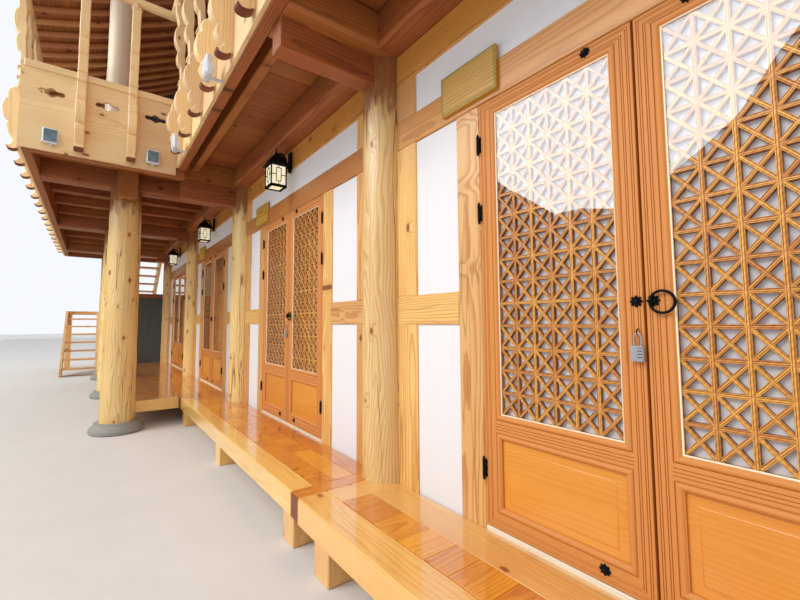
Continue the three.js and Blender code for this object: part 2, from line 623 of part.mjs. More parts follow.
// Two long slopes, a hipped end under a gable, and the ridges over their meetings
function roofBody(plan, frontMarks) {
  const { x0, x1, y0, y1, run, eave, hipX, hipSide, side, end, ridgeY } = plan;
  const inX = (d) => hipX - hipSide * d;
  const verge = inX(GABLE_INSET - GABLE_VERGE);
  const farX = hipSide < 0 ? x1 : x0;
  const ys = [y0, ...frontMarks, ridgeY, y1 - 2900, y1 - 2100, DEPTH, y1];
  const rows = Math.floor((y1 - y0 - 300) / TILE_PITCH);
  const endEdge = ridgeY - (rows * TILE_PITCH) / 2;
  const wave = (at, edge) => -TILE_WAVE * Math.cos((2 * Math.PI * (at - edge)) / TILE_PITCH);
  const inset = GABLE_INSET - GABLE_VERGE;
  const deep = GABLE_INSET + GABLE_WALL;
  const outline = (points) => prismZ(hipSide < 0 ? points : points.reverse(), 0, 3 * UPPER_WALL_TOP);
  const slopePlan = [[hipX, y0], [farX, y0], [farX, y1], [hipX, y1],
    [inX(inset), y1 - inset], [inX(inset), y0 + inset]];
  const endPlan = [[hipX, y0 - 40], [inX(deep), y0 + deep - 40],
    [inX(deep), y1 - deep + 40], [hipX, y1 + 40]];
  const slopes = tiledSlab(rowLines(x0, x1, verge), ys, side, (x) => wave(x, verge))
    .intersect(outline(slopePlan));
  const endXs = [0, 600, HALF_LENGTH + OVERHANG - END_FACE, 1600, deep].map(inX).sort((a, b) => a - b);
  const hipped = tiledSlab(endXs, rowLines(y0, y1, endEdge), end, (x, y) => wave(y, endEdge))
    .intersect(outline(endPlan));
  const half = run - GABLE_INSET - 60;
  const foot = eave + slopeHeight(GABLE_INSET, run) - 90;
  const gable = [[ridgeY - half, foot], [ridgeY + half, foot]];
  for (let k = 0; k <= 8; k += 1) {
    const y = ridgeY + half * (1 - k / 4);
    gable.push([y, side(inX(deep), y) - ROOF_THICK / 2]);
  }
  const shape = new THREE.Shape(gable.map(([y, z]) => new THREE.Vector2(y, z)));
  const [wall0, wall1] = [inX(GABLE_INSET), inX(deep)].sort((a, b) => a - b);
  const gableWall = prismX(shape, wall0, wall1);
  const tip = eave + slopeHeight(run, run);
  const ridgeEnd = inX(inset + 40);
  const ridge = [0, 0.08, 0.2, 0.45, 1].map((t) =>
    [ridgeEnd + (farX - ridgeEnd) * t, ridgeY, tip + 70 * (1 - t) ** 4]);
  const pieces = [slopes, hipped, gableWall, ridgeBar(ridge, RIDGE_WIDE, RIDGE_HIGH, 150)];
  for (const turn of [-1, 1]) {
    const inY = (d) => (turn < 0 ? y0 + d : y1 - d);
    const vergePath = [run - 40, 3000, 2300, GABLE_INSET - 220]
      .filter((d, k, list) => k === 0 || d < list[0] - 60)
      .map((d) => [ridgeEnd, inY(d), side(ridgeEnd, inY(d)) - 12]);
    pieces.push(ridgeBar(vergePath, 200, 170));
    const hipPath = [250, 700, 1250, GABLE_INSET - 60].map((d, k) =>
      [inX(d), inY(d), Math.min(side(inX(d), inY(d)), end(inX(d), inY(d))) - 10 + [46, 17, 2, 0][k]]);
    pieces.push(ridgeBar(hipPath, 210, 165));
  }
  return pieces;
}

function roofs() {
  const overBlock = roofPlan(-HALF_LENGTH - OVERHANG, ROOF_JOINT_X, BLOCK_EAVE_Y, -1);
  const wing = roofPlan(ROOF_JOINT_X + GAP, HALF_LENGTH + OVERHANG, WING_EAVE_Y, 1);
  const pieces = roofBody(overBlock, [PAV_UPPER_Y - 100, -700, 0, 600]);
  const upper = [1650, 1188, 400, -500, -1350]
    .map((y) => [y, overBlock.side(ROOF_JOINT_X, y) - ROOF_THICK / 2]);
  const lower = [-1350, -600, 200, 1000, 1650].map((y) => [y, wing.side(ROOF_JOINT_X, y) - 60]);
  const shape = new THREE.Shape([...lower, ...upper].map(([y, z]) => new THREE.Vector2(y, z)));
  pieces.push(prismX(shape, ROOF_JOINT_X - 100, ROOF_JOINT_X));
  const verge = ROOF_JOINT_X - 92;
  for (const turn of [-1, 1]) {
    const path = [120, 1000, 1900, 2800, overBlock.run - 40].map((d) => {
      const y = turn < 0 ? overBlock.y0 + d : overBlock.y1 - d;
      return [verge, y, overBlock.side(verge, y) - 12];
    });
    pieces.push(ridgeBar(path, 180, 120));
  }
  addPiece('block_roof', join(pieces), ROOF_TILE, 0.7);
  addPiece('wing_roof', join(roofBody(wing, [-700, 0, 800])), ROOF_TILE, 0.7);
}

function upperColumns() {
  const plateLow = UPPER_WALL_TOP - PLATE;
  const hipEnd = -HALF_LENGTH - OVERHANG + GABLE_INSET + GABLE_WALL + 10;
  const pieces = [
    block(-END_FACE, END_FACE, -80, WALL, plateLow, UPPER_WALL_TOP),
    block(hipEnd, ROOF_JOINT_X - 130, 0, WALL, UPPER_WALL_TOP - 1,
      underside(-BLOCK_EAVE_Y, BLOCK_EAVE_Y) - GAP),
  ];
  for (let i = 0; i <= BAYS; i += 1) {
    pieces.push(log(columnX(i), COLUMN_Y, UPPER_FLOOR_TOP + GAP, plateLow + 1, UPPER_COLUMN_R));
  }
  addPiece('upper_front_columns', join(pieces), PINE, 0.55);
  const purlinTop = underside(PAV_UPPER_Y - 100 - BLOCK_EAVE_Y, BLOCK_EAVE_Y) - GAP;
  const purlinLow = purlinTop - PLATE;
  const front = [block(-HALF_LENGTH - 220, PAV_X[0] + 300, PAV_UPPER_Y - 100, PAV_UPPER_Y + 100,
    purlinLow, purlinTop)];
  for (const x of PAV_X) {
    front.push(log(x, PAV_UPPER_Y, UPPER_FLOOR_TOP + GAP, purlinLow + 1, PAV_UPPER_R));
  }
  addPiece('pavilion_upper_columns', join(front), PINE, 0.55);
}

// Upper front wall behind its columns, with a doorway in each bay
function upperFrontWall() {
  const tools = [];
  const top = UPPER_WALL_TOP - PLATE - GAP;
  for (let i = 0; i <= BAYS; i += 1) {
    tools.push(log(columnX(i), COLUMN_Y, UPPER_FLOOR_TOP, top + 10, UPPER_COLUMN_R + GAP));
  }
  for (let bay = 0; bay < BAYS; bay += 1) {
    const centre = columnX(bay) - BAY / 2;
    tools.push(block(centre - 1050, centre + 1050, -1, WALL + 1, UPPER_DOOR_LOW, UPPER_DOOR_HEAD));
  }
  const wall = block(-END_FACE, END_FACE, 0, WALL, UPPER_FLOOR_TOP + GAP, top);
  addPiece('upper_front_wall', cut(wall, tools), PLASTER, 0.8);
  windowSheet('upper_front_screens', WALL + GAP, WALL + GAP + 10, UPPER_DOOR_LOW + 41, UPPER_DOOR_HEAD, 5700);
}

// A flight rising along +X from (0, z0) between two stringers, as steps joined to them
function flight(z0) {
  const pieces = [];
  const shape = (y0, y1) => {
    const outline = new THREE.Shape();
    const length = (RISERS - 1) * GOING;
    outline.moveTo(0, 0);
    outline.lineTo(GOING, 0);
    outline.lineTo(length + GOING - 60, (RISERS - 1) * RISE - 120);
    outline.lineTo(length + GOING - 60, RISERS * RISE - GAP);
    outline.lineTo(length, RISERS * RISE - GAP);
    outline.lineTo(0, RISE);
    const geometry = new THREE.ExtrudeGeometry(outline, { depth: y1 - y0, bevelEnabled: false });
    geometry.rotateX(Math.PI / 2);
    geometry.translate(0, y1, z0);
    return solid(geometry);
  };
  pieces.push(shape(0, STRINGER));
  pieces.push(shape(STAIR_WIDE - STRINGER, STAIR_WIDE));
  for (let i = 0; i < RISERS - 1; i += 1) {
    const z = z0 + (i + 1) * RISE;
    pieces.push(block(i * GOING + 10, i * GOING + GOING + 10, 1, STAIR_WIDE - 1, z - 38, z));
  }
  return join(pieces);
}

function stair() {
  const half = RISERS * RISE;
  const length = (RISERS - 1) * GOING + GOING - 60;
  const upperEast = RIM_WEST - GAP;
  const landingEast = upperEast - length - GAP;
  const landingWest = landingEast - 900;
  const upper = flight(half).translate([landingEast + GAP, -STAIR_WIDE - 60, 0]);
  addPiece('stair_upper_flight', upper, PINE, 0.6);
  const lower = flight(0).rotate([0, 0, 180])
    .translate([landingEast + GAP + length, RIM_SOUTH + STAIR_WIDE, 0]);
  addPiece('stair_lower_flight', lower, PINE, 0.6);
  const legs = [];
  for (const x of [landingWest + 60, landingEast - 60]) {
    for (const y of [RIM_SOUTH + 60, -120]) legs.push(block(x - 50, x + 50, y - 50, y + 50, 0, half - 60));
  }
  const slab = block(landingWest, landingEast, RIM_SOUTH, -60, half - 80, half);
  addPiece('stair_landing', join([slab, ...legs]), PINE, 0.6);
}

// Wall lantern under a tall hood on an arm over the middle of a bay
function lanterns() {
  for (const bay of [2, 3, 4]) {
    const x = columnX(bay - 1) - BAY / 2 + 12;
    const y = -150;
    const pieces = [
      block(x - 36, x + 36, -14, -GAP, 2723, 2940),
      block(x - 11, x + 11, y, -10, 2846, 2868),
      block(x - 78, x + 78, y - 78, y + 78, 2548, 2786),
      log(x, y, 2785, 2830, 112, 84, 8),
      log(x, y, 2829, 2900, 84, 30, 8),
      log(x, y, 2899, 2940, 14, 8, 8),
      log(x, y, 2525, 2549, 30, 70, 8),
    ];
    addPiece(`lantern_bay_${bay}`, join(pieces), IRON, 0.5, 0.6);
  }
}

// Room name boards over the doors, left bare
function plaques() {
  for (const bay of [1, 2, 3]) {
    const x = columnX(bay) + 774;
    addPiece(`plaque_bay_${bay}`, block(x - 183, x + 183, -34, -GAP, 2364, 2582), 0xbe9632, 0.5);
  }
}

stonePlinth();
groundFloor();
frontColumns();
frontPiers();
overDoorWall();
doorLeaves();
decks();
deckEndScreen();
outerWalls();
floorFrame();
upperFloor();
pavilionColumns();
balustrades();
upperColumns();
upperFrontWall();
roofs();
stair();
lanterns();
plaques();

export default house;
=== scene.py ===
"""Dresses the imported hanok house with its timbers, doors, tiles, lamps and finishes."""

import itertools
import math
import random

import bpy
from mathutils import Matrix, Vector, noise


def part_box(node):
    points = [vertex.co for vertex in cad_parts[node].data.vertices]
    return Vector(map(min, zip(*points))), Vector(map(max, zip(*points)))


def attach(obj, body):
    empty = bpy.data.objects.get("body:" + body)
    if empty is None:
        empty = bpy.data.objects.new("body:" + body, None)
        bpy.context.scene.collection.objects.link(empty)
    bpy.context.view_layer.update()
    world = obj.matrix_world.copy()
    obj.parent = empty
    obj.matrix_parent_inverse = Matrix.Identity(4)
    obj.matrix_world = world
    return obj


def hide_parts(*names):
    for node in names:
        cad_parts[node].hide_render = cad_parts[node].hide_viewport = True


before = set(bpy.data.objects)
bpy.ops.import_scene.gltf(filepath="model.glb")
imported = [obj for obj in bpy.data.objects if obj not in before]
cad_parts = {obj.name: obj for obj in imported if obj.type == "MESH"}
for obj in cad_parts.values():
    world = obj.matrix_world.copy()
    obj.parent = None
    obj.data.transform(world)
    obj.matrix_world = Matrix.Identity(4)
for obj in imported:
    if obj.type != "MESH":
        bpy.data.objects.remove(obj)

bl_info = {
    "name": "Hanok House",
    "version": (1, 0, 0),
    "blender": (4, 5, 0),
    "location": "View3D > Sidebar > Hanok",
    "description": "Builds the timbers, doors, tiles and lamps of a two-storey hanok house",
    "category": "Add Mesh",
}

MM = 0.001
HOUSE = "house"

# The house's own sizes, in millimetres, as in its source
GAP = 0.3  # keeps pieces clear of each other
BAYS = 4
BAY = 3060
HALF_LENGTH = 6120
END_FACE = 6215
DEPTH = 3600
WALL = 190
PLINTH_TOP = 176
FLOOR_TOP = 330
SILL_TOP = 336
DECK_TOP = 316
RAIL_LOW = 1253
RAIL_HIGH = 1421
DOOR_HEAD = 2335
TRANSOM_TOP = 2514
BEAM_LOW = 2750
ARM_LOW = 2775
GIRDER_LOW = 2953
PAV_BEAM_LOW = 2731
PAV_GIRDER_LOW = 2875
JOIST_LOW = 3060
GIRDER_TOP = 3184
UPPER_FLOOR = 3214
COLUMN_R = 150
COLUMN_Y = 15
COLUMN_SHIFT = 28
POST_END = {-1: 305, 1: 349}
PANEL_END = 677
PIER_HALF = 830
LEAF_LOW = 341
LEAF_HIGH = 2330
LATTICE_LOW = 844
LATTICE_HIGH = 2258
PANEL_LOW = 437
PANEL_HIGH = 736
PAVILION_X = (-590, -3355, -6120)
PAVILION_Y = -1240
PAVILION_UPPER_Y = -1380
RIM_FRONT = -812
RIM_EAST = 317
RIM_SOUTH = -2124
RIM_WEST = -7025
RIM = 73
EAST_END = 6420
SKIRT = 25
SKIRT_LOW = 2968
PAV_SKIRT_LOW = 2890
SKIRT_TOP = 3727
HANDRAIL_Z = 4640
HANDRAIL_OUT = 70
UPPER_WALL_TOP = 6093
UPPER_DOOR_LOW = 3254
UPPER_DOOR_HEAD = 5244
OVERHANG = 1276
ROOF_THICK = 160
ROOF_JOINT_X = 900
WING_EAVE_Y = -1400
BLOCK_EAVE_Y = -2500
SLOPE_EAVE = 0.32
SLOPE_RIDGE = 0.72
GABLE_INSET = 1900
CORNER_LIFT = 260
LIFT_REACH = 3200
RIDGE_HIGH = 254
RIDGE_WIDE = 250
RISERS = 8
GOING = 250
STAIR_WIDE = 740


def column_x(i):
    return HALF_LENGTH - i * BAY


def column_axis(i):
    return column_x(i) + COLUMN_SHIFT


def bay_centre(bay):
    return column_x(bay) - BAY / 2


# Mesh building

AXES = {"x": (0, 1, 2), "y": (1, 0, 2), "z": (2, 0, 1)}
ALONG = {"x": lambda t, u, v: (t, u, v), "y": lambda t, u, v: (u, t, v), "z": lambda t, u, v: (u, v, t)}


def box_shape(lo, hi, chamfer=3.0):
    """Points and faces of a block whose edges are planed off"""
    chamfer = min(chamfer, min(h - l for l, h in zip(lo, hi)) / 3)
    points, index = [], {}
    for corner in itertools.product((0, 1), repeat=3):
        for axis in range(3):
            point = [hi[k] if corner[k] else lo[k] for k in range(3)]
            for k in range(3):
                if k != axis:
                    point[k] += -chamfer if corner[k] else chamfer
            index[corner, axis] = len(points)
            points.append(tuple(point))
    faces = []
    for axis in range(3):
        u, v = (axis + 1) % 3, (axis + 2) % 3
        for side in (0, 1):
            loop = []
            for a, b in ((0, 0), (1, 0), (1, 1), (0, 1)):
                corner = [0, 0, 0]
                corner[axis], corner[u], corner[v] = side, a, b
                loop.append(index[tuple(corner), axis])
            faces.append(loop if side else loop[::-1])
        for a, b in ((0, 0), (1, 0), (1, 1), (0, 1)):
            ends = []
            for side in (0, 1):
                corner = [0, 0, 0]
                corner[axis], corner[u], corner[v] = side, a, b
                ends.append(tuple(corner))
            loop = [index[ends[0], u], index[ends[0], v], index[ends[1], v], index[ends[1], u]]
            faces.append(loop if a == b else loop[::-1])
    for corner in itertools.product((0, 1), repeat=3):
        loop = [index[corner, k] for k in range(3)]
        faces.append(loop if sum(corner) % 2 else loop[::-1])
    return points, faces


def signed_area(outline):
    return sum(p[0] * q[1] - q[0] * p[1] for p, q in zip(outline, outline[1:] + outline[:1]))


def tube_faces(count):
    """Faces between two loops of as many points, then the two that close its ends"""
    sides = [[i, (i + 1) % count, count + (i + 1) % count, count + i] for i in range(count)]
    return sides + [list(range(count))[::-1], list(range(count, 2 * count))]


def turned_over(shape, needed=True):
    """The shape with its faces looking the other way, where that is needed"""
    points, faces = shape
    return points, [face[::-1] for face in faces] if needed else faces


def spaced(count, start, end):
    """Places that part the way from start to end in equal steps"""
    return [start + (end - start) * k / count for k in range(count + 1)]


def strips(count, start, end):
    """Both edges of each of as many equal strips"""
    edges = spaced(count, start, end)
    return zip(edges, edges[1:])


def prism_shape(outline, axis, a, b):
    """Points and faces of an outline run along an axis from a to b"""
    points = [ALONG[axis](t, *p) for t in (a, b) for p in outline]
    return turned_over((points, tube_faces(len(outline))), (signed_area(outline) > 0) == (axis == "y"))


def around(count):
    """Angles that part a full turn evenly"""
    return [2 * math.pi * k / count for k in range(count)]


def ring_shape(rings, closed_ends=True):
    """Points and faces of a skin over rings of equal length"""
    count = len(rings[0])
    points = [p for ring in rings for p in ring]
    faces = []
    for r in range(len(rings) - 1):
        for i in range(count):
            j = (i + 1) % count
            faces.append([r * count + i, r * count + j, (r + 1) * count + j, (r + 1) * count + i])
    if closed_ends:
        last = (len(rings) - 1) * count
        faces += [list(range(count))[::-1], list(range(last, last + count))]
    return points, faces


def turned_shape(centre, profile, sides=20, axis="z", phase=0.0):
    """Points and faces of a turned form: profile holds (place along the axis, radius)"""
    rings = []
    for along, radius in profile:
        ring = []
        for angle in around(sides):
            u, v = radius * math.cos(phase + angle), radius * math.sin(phase + angle)
            ring.append({
                "z": (centre[0] + u, centre[1] + v, centre[2] + along),
                "y": (centre[0] + v, centre[1] + along, centre[2] + u),
                "x": (centre[0] + along, centre[1] + u, centre[2] + v),
            }[axis])
        rings.append(ring)
    return ring_shape(rings)


def rod_shape(path, radius, sides=8, closed=False):
    """Points and faces of a round rod along a path"""
    path = [Vector(p) for p in path]
    rings = []
    side = None
    for i, point in enumerate(path):
        before = path[i - 1] if i or closed else path[0]
        after = path[(i + 1) % len(path)] if i + 1 < len(path) or closed else path[-1]
        along = (after - before).normalized()
        if side is None:
            side = along.orthogonal().normalized()
        side = (side - along * side.dot(along)).normalized()
        other = along.cross(side)
        size = radius[i] if isinstance(radius, (list, tuple)) else radius
        rings.append([tuple(point + (side * math.cos(t) + other * math.sin(t)) * size) for t in around(sides)])
    if closed:
        rings.append(rings[0])
    return ring_shape(rings, not closed)


class Work:
    """One piece in the making: its boards, in millimetres, each with its own grain and shade"""

    def __init__(self, name, seed):
        self.name = name
        self.draw = random.Random(seed)
        self.points, self.faces, self.grain, self.tone, self.finish = [], [], [], [], []

    def add(self, shape, along="x", finish=0, grain=None, tone=None, pith=110):
        """Adds a shape whose wood grain runs along an axis, or whose grain is given by a function"""
        points, faces = shape
        start = len(self.points)
        self.points.extend(points)
        self.faces.extend([start + i for i in face] for face in faces)
        self.finish.extend([finish] * len(faces))
        offset = (self.draw.uniform(-30, 30), self.draw.uniform(-pith, pith) * MM,
                  self.draw.uniform(0.25, 1.0) * pith * MM)
        shade = self.draw.uniform(-1, 1) if tone is None else tone
        self.draw.random()
        if grain is None:
            order = list(AXES[along])
            low = [min(p[k] for p in points) for k in range(3)]
            high = [max(p[k] for p in points) for k in range(3)]
            if high[order[1]] - low[order[1]] < high[order[2]] - low[order[2]]:
                order[1], order[2] = order[2], order[1]
            middle = [(l + h) / 2 for l, h in zip(low, high)]
            grain = lambda p: [(p[k] - middle[k]) * MM for k in order]
        for p in points:
            g = grain(p)
            self.grain.extend((g[0] + offset[0], g[1] + offset[1], g[2] + offset[2]))
        self.tone.extend([shade] * len(points))

    def board(self, x0, x1, y0, y1, z0, z1, along="x", chamfer=3.0, finish=0, tone=None):
        lo = (min(x0, x1), min(y0, y1), min(z0, z1))
        hi = (max(x0, x1), max(y0, y1), max(z0, z1))
        self.add(box_shape(lo, hi, chamfer), along, finish, tone=tone)

    def prism(self, outline, axis, a, b, along=None, finish=0, tone=None):
        self.add(prism_shape(outline, axis, a, b), along or axis, finish, tone=tone)

    def turned(self, centre, profile, sides=20, axis="z", finish=0, phase=0.0, tone=None):
        self.add(turned_shape(centre, profile, sides, axis, phase), axis, finish, tone=tone)

    def rod(self, path, radius, sides=8, closed=False, finish=0, along="x", tone=None):
        self.add(rod_shape(path, radius, sides, closed), along, finish, tone=tone)

    def build(self, finishes, replaces=(), slot=None, body=HOUSE, smooth_angle=32):
        """Makes the Blender object and hands it to the frame"""
        mesh = bpy.data.meshes.new(self.name)
        mesh.from_pydata([(x * MM, y * MM, z * MM) for x, y, z in self.points], [], self.faces)
        grain = mesh.attributes.new("grain", "FLOAT_VECTOR", "POINT")
        grain.data.foreach_set("vector", self.grain)
        tone = mesh.attributes.new("tone", "FLOAT", "POINT")
        tone.data.foreach_set("value", self.tone)
        for finish in finishes:
            mesh.materials.append(finish_material(finish))
        mesh.polygons.foreach_set("material_index", self.finish)
        mesh.polygons.foreach_set("use_smooth", [True] * len(mesh.polygons))
        mesh.set_sharp_from_angle(angle=math.radians(smooth_angle))
        mesh.validate()
        mesh.update()
        piece = bpy.data.objects.new(self.name, mesh)
        bpy.context.scene.collection.objects.link(piece)
        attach(piece, body)
        if replaces:
            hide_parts(*replaces)
        return piece


def curve_points(start, parts, steps=6):
    """Points along lines and Bezier curves: each part is a list of its following control points"""
    points = [start]
    for part in parts:
        a = points[-1]
        if len(part) == 1:
            points.append(part[0])
            continue
        for i in range(1, steps + 1):
            t = i / steps
            if len(part) == 2:
                weights = ((1 - t) ** 2, 2 * t * (1 - t), t * t)
            else:
                weights = ((1 - t) ** 3, 3 * t * (1 - t) ** 2, 3 * t * t * (1 - t), t ** 3)
            knots = [a] + list(part)
            points.append(tuple(sum(w * k[c] for w, k in zip(weights, knots)) for c in (0, 1)))
    return points


def swelling(seed, x, y, z, reach):
    """A smooth wander between -1 and 1 for hand-shaped surfaces"""
    return noise.noise(Vector((x / reach + seed * 7.3, y / reach - seed * 3.1, z / reach)))


# Materials

def fill(tree, node, inputs):
    """Gives a node's inputs plain values, or links them to other sockets"""
    for key, value in inputs.items():
        if isinstance(value, bpy.types.NodeSocket):
            tree.links.new(value, node.inputs[key])
        else:
            node.inputs[key].default_value = value
    return node


def shade_node(tree, kind, inputs=None, **settings):
    node = tree.nodes.new(kind)
    for key, value in settings.items():
        setattr(node, key, value)
    return fill(tree, node, inputs or {})


def calc(tree, operation, *values, clamp=False):
    inputs = dict(enumerate(values))
    return shade_node(tree, "ShaderNodeMath", inputs, operation=operation, use_clamp=clamp).outputs[0]


def ramp_between(tree, value, low, high, to_low=0.0, to_high=1.0, smooth=True):
    node = shade_node(tree, "ShaderNodeMapRange", {
        "Value": value, "From Min": low, "From Max": high, "To Min": to_low, "To Max": to_high})
    if smooth:
        node.interpolation_type = "SMOOTHSTEP"
    return node.outputs["Result"]


def blend_colour(tree, factor, a, b):
    return shade_node(tree, "ShaderNodeMix", {0: factor, 6: a, 7: b}, data_type="RGBA").outputs[2]


def scaled(tree, vector, factors):
    return shade_node(tree, "ShaderNodeVectorMath", {0: vector, 1: factors}, operation="MULTIPLY").outputs[0]


def noise_at(tree, vector, scale, detail=2.0, roughness=0.5, distortion=0.0):
    return shade_node(tree, "ShaderNodeTexNoise", {
        "Vector": vector, "Scale": scale, "Detail": detail, "Roughness": roughness,
        "Distortion": distortion}).outputs["Fac"]


def open_group(name, inputs, outputs):
    """Starts a shader node group; returns its tree, its input sockets and a setter for its outputs"""
    kinds = {"color": "NodeSocketColor", "value": "NodeSocketFloat", "vector": "NodeSocketVector"}
    tree = bpy.data.node_groups.new(name, "ShaderNodeTree")
    for label, kind, default in inputs:
        socket = tree.interface.new_socket(name=label, in_out="INPUT", socket_type=kinds[kind])
        if default is not None:
            socket.default_value = default
    for label, kind in outputs:
        tree.interface.new_socket(name=label, in_out="OUTPUT", socket_type=kinds[kind])
    entry = tree.nodes.new("NodeGroupInput")
    leave = tree.nodes.new("NodeGroupOutput")
    return tree, entry.outputs, lambda label, socket: tree.links.new(socket, leave.inputs[label])


def timber_figure_group():
    """Growth rings, fibres and knots of a sawn board, read in the board's own coordinates"""
    tree, given, put = open_group("Timber Figure", [
        ("Grain", "vector", None), ("Tone", "value", 0.0),
        ("Light", "color", (0.8, 0.5, 0.2, 1)), ("Dark", "color", (0.5, 0.2, 0.05, 1)),
        ("Knot", "color", (0.2, 0.06, 0.01, 1)), ("Rings per Metre", "value", 90.0),
        ("Wander", "value", 0.05), ("Knots", "value", 0.5), ("Contrast", "value", 0.5), ("Checks", "value", 0.0),
    ], [("Color", "color"), ("Height", "value"), ("Dark Grain", "value")])
    grain = given["Grain"]
    slow = shade_node(tree, "ShaderNodeTexNoise", {
        "Vector": scaled(tree, grain, (0.9, 4.5, 4.5)), "Scale": 1.0, "Detail": 2.0}).outputs["Color"]
    centred = shade_node(tree, "ShaderNodeVectorMath", {0: slow, 1: (0.5, 0.5, 0.5)}, operation="SUBTRACT").outputs[0]
    drift = shade_node(tree, "ShaderNodeVectorMath", {0: centred}, operation="SCALE")
    tree.links.new(given["Wander"], drift.inputs["Scale"])
    bent = shade_node(tree, "ShaderNodeVectorMath", {0: grain, 1: drift.outputs[0]}, operation="ADD").outputs[0]

    knot_place = scaled(tree, grain, (2.4, 4.2, 0.0))
    cells = shade_node(tree, "ShaderNodeTexVoronoi", {"Vector": knot_place, "Scale": 1.0, "Randomness": 0.6},
                       voronoi_dimensions="2D")
    pick = shade_node(tree, "ShaderNodeSeparateColor", {0: cells.outputs["Color"]}).outputs
    wanted = calc(tree, "LESS_THAN", pick[0], given["Knots"])
    size = calc(tree, "MULTIPLY_ADD", pick[1], 0.05, 0.036)
    wobble = noise_at(tree, grain, 60.0, 1.0)
    near = calc(tree, "DIVIDE", calc(tree, "MULTIPLY_ADD", wobble, 0.012, cells.outputs["Distance"]), size)
    core = calc(tree, "MULTIPLY", ramp_between(tree, near, 1.1, 0.75), wanted)
    swirl = calc(tree, "MULTIPLY", ramp_between(tree, cells.outputs["Distance"], 0.2, 0.02), wanted)

    parts = shade_node(tree, "ShaderNodeSeparateXYZ", {0: bent}).outputs
    reach = calc(tree, "SQRT", calc(tree, "ADD", calc(tree, "MULTIPLY", parts["Y"], parts["Y"]),
                                    calc(tree, "MULTIPLY", parts["Z"], parts["Z"])))
    reach = calc(tree, "MULTIPLY_ADD", swirl, 0.034, reach)
    ripple = noise_at(tree, scaled(tree, grain, (5.0, 40.0, 40.0)), 1.0, 2.0)
    count = calc(tree, "MULTIPLY_ADD", reach, given["Rings per Metre"], calc(tree, "MULTIPLY", ripple, 0.7))
    ring = calc(tree, "FRACT", count)
    late = calc(tree, "MULTIPLY", ramp_between(tree, ring, 0.30, 0.90), ramp_between(tree, ring, 1.0, 0.93))
    fibre = noise_at(tree, scaled(tree, grain, (7.0, 420.0, 420.0)), 1.0, 2.0, 0.6)
    patch = noise_at(tree, scaled(tree, grain, (1.6, 7.0, 7.0)), 1.0, 2.0)
    streak = noise_at(tree, scaled(tree, grain, (1.2, 55.0, 55.0)), 1.0, 2.0)

    depth = calc(tree, "MULTIPLY", late, given["Contrast"])
    depth = calc(tree, "MULTIPLY_ADD", ramp_between(tree, fibre, 0.35, 0.75), 0.16, depth)
    depth = calc(tree, "MULTIPLY_ADD", ramp_between(tree, patch, 0.35, 0.75), 0.22, depth)
    depth = calc(tree, "MULTIPLY_ADD", ramp_between(tree, streak, 0.5, 0.8), 0.18, depth)
    depth = calc(tree, "MULTIPLY_ADD", swirl, 0.28, depth, clamp=True)
    colour = blend_colour(tree, depth, given["Light"], given["Dark"])
    colour = blend_colour(tree, calc(tree, "MULTIPLY", core, 0.9), colour, given["Knot"])
    contour = noise_at(tree, scaled(tree, grain, (0.5, 9.0, 9.0)), 1.0, 2.0)
    apart = calc(tree, "ABSOLUTE", calc(tree, "SUBTRACT", contour, 0.5))
    here = ramp_between(tree, noise_at(tree, scaled(tree, grain, (1.1, 3.0, 3.0)), 1.0, 1.0), 0.42, 0.55)
    shown = calc(tree, "MULTIPLY", here, given["Checks"])
    split = calc(tree, "MULTIPLY", ramp_between(tree, apart, 0.011, 0.004), shown)
    colour = blend_colour(tree, split, colour, given["Knot"])
    value = calc(tree, "MULTIPLY_ADD", given["Tone"], 0.13, 1.0)
    hue = calc(tree, "MULTIPLY_ADD", given["Tone"], 0.008, 0.5)
    toned = shade_node(tree, "ShaderNodeHueSaturation", {"Hue": hue, "Value": value, "Color": colour}).outputs[0]
    put("Color", toned)
    height = calc(tree, "MULTIPLY_ADD", late, -0.35, calc(tree, "MULTIPLY", fibre, 0.65))
    put("Height", calc(tree, "MULTIPLY_ADD", core, -0.6, height))
    put("Dark Grain", depth)
    return tree


def weather_group():
    """Soft dirt and fading, the same on every finish that stands outside"""
    tree, given, put = open_group("Weather", [
        ("Place", "vector", None), ("Color", "color", (0.8, 0.8, 0.8, 1)),
        ("Dirt", "color", (0.25, 0.2, 0.15, 1)), ("Amount", "value", 0.2), ("Size", "value", 1.5),
    ], [("Color", "color"), ("Mask", "value")])
    place = scaled(tree, given["Place"], (1.0, 1.0, 0.45))
    broad = shade_node(tree, "ShaderNodeTexNoise", {"Vector": place, "Scale": given["Size"], "Detail": 5.0,
                                                    "Roughness": 0.6}).outputs["Fac"]
    fine = noise_at(tree, given["Place"], 90.0, 3.0)
    mask = calc(tree, "MULTIPLY", ramp_between(tree, broad, 0.42, 0.78),
                calc(tree, "MULTIPLY_ADD", fine, 0.6, 0.6), clamp=True)
    put("Color", blend_colour(tree, calc(tree, "MULTIPLY", mask, given["Amount"]), given["Color"], given["Dirt"]))
    put("Mask", mask)
    return tree


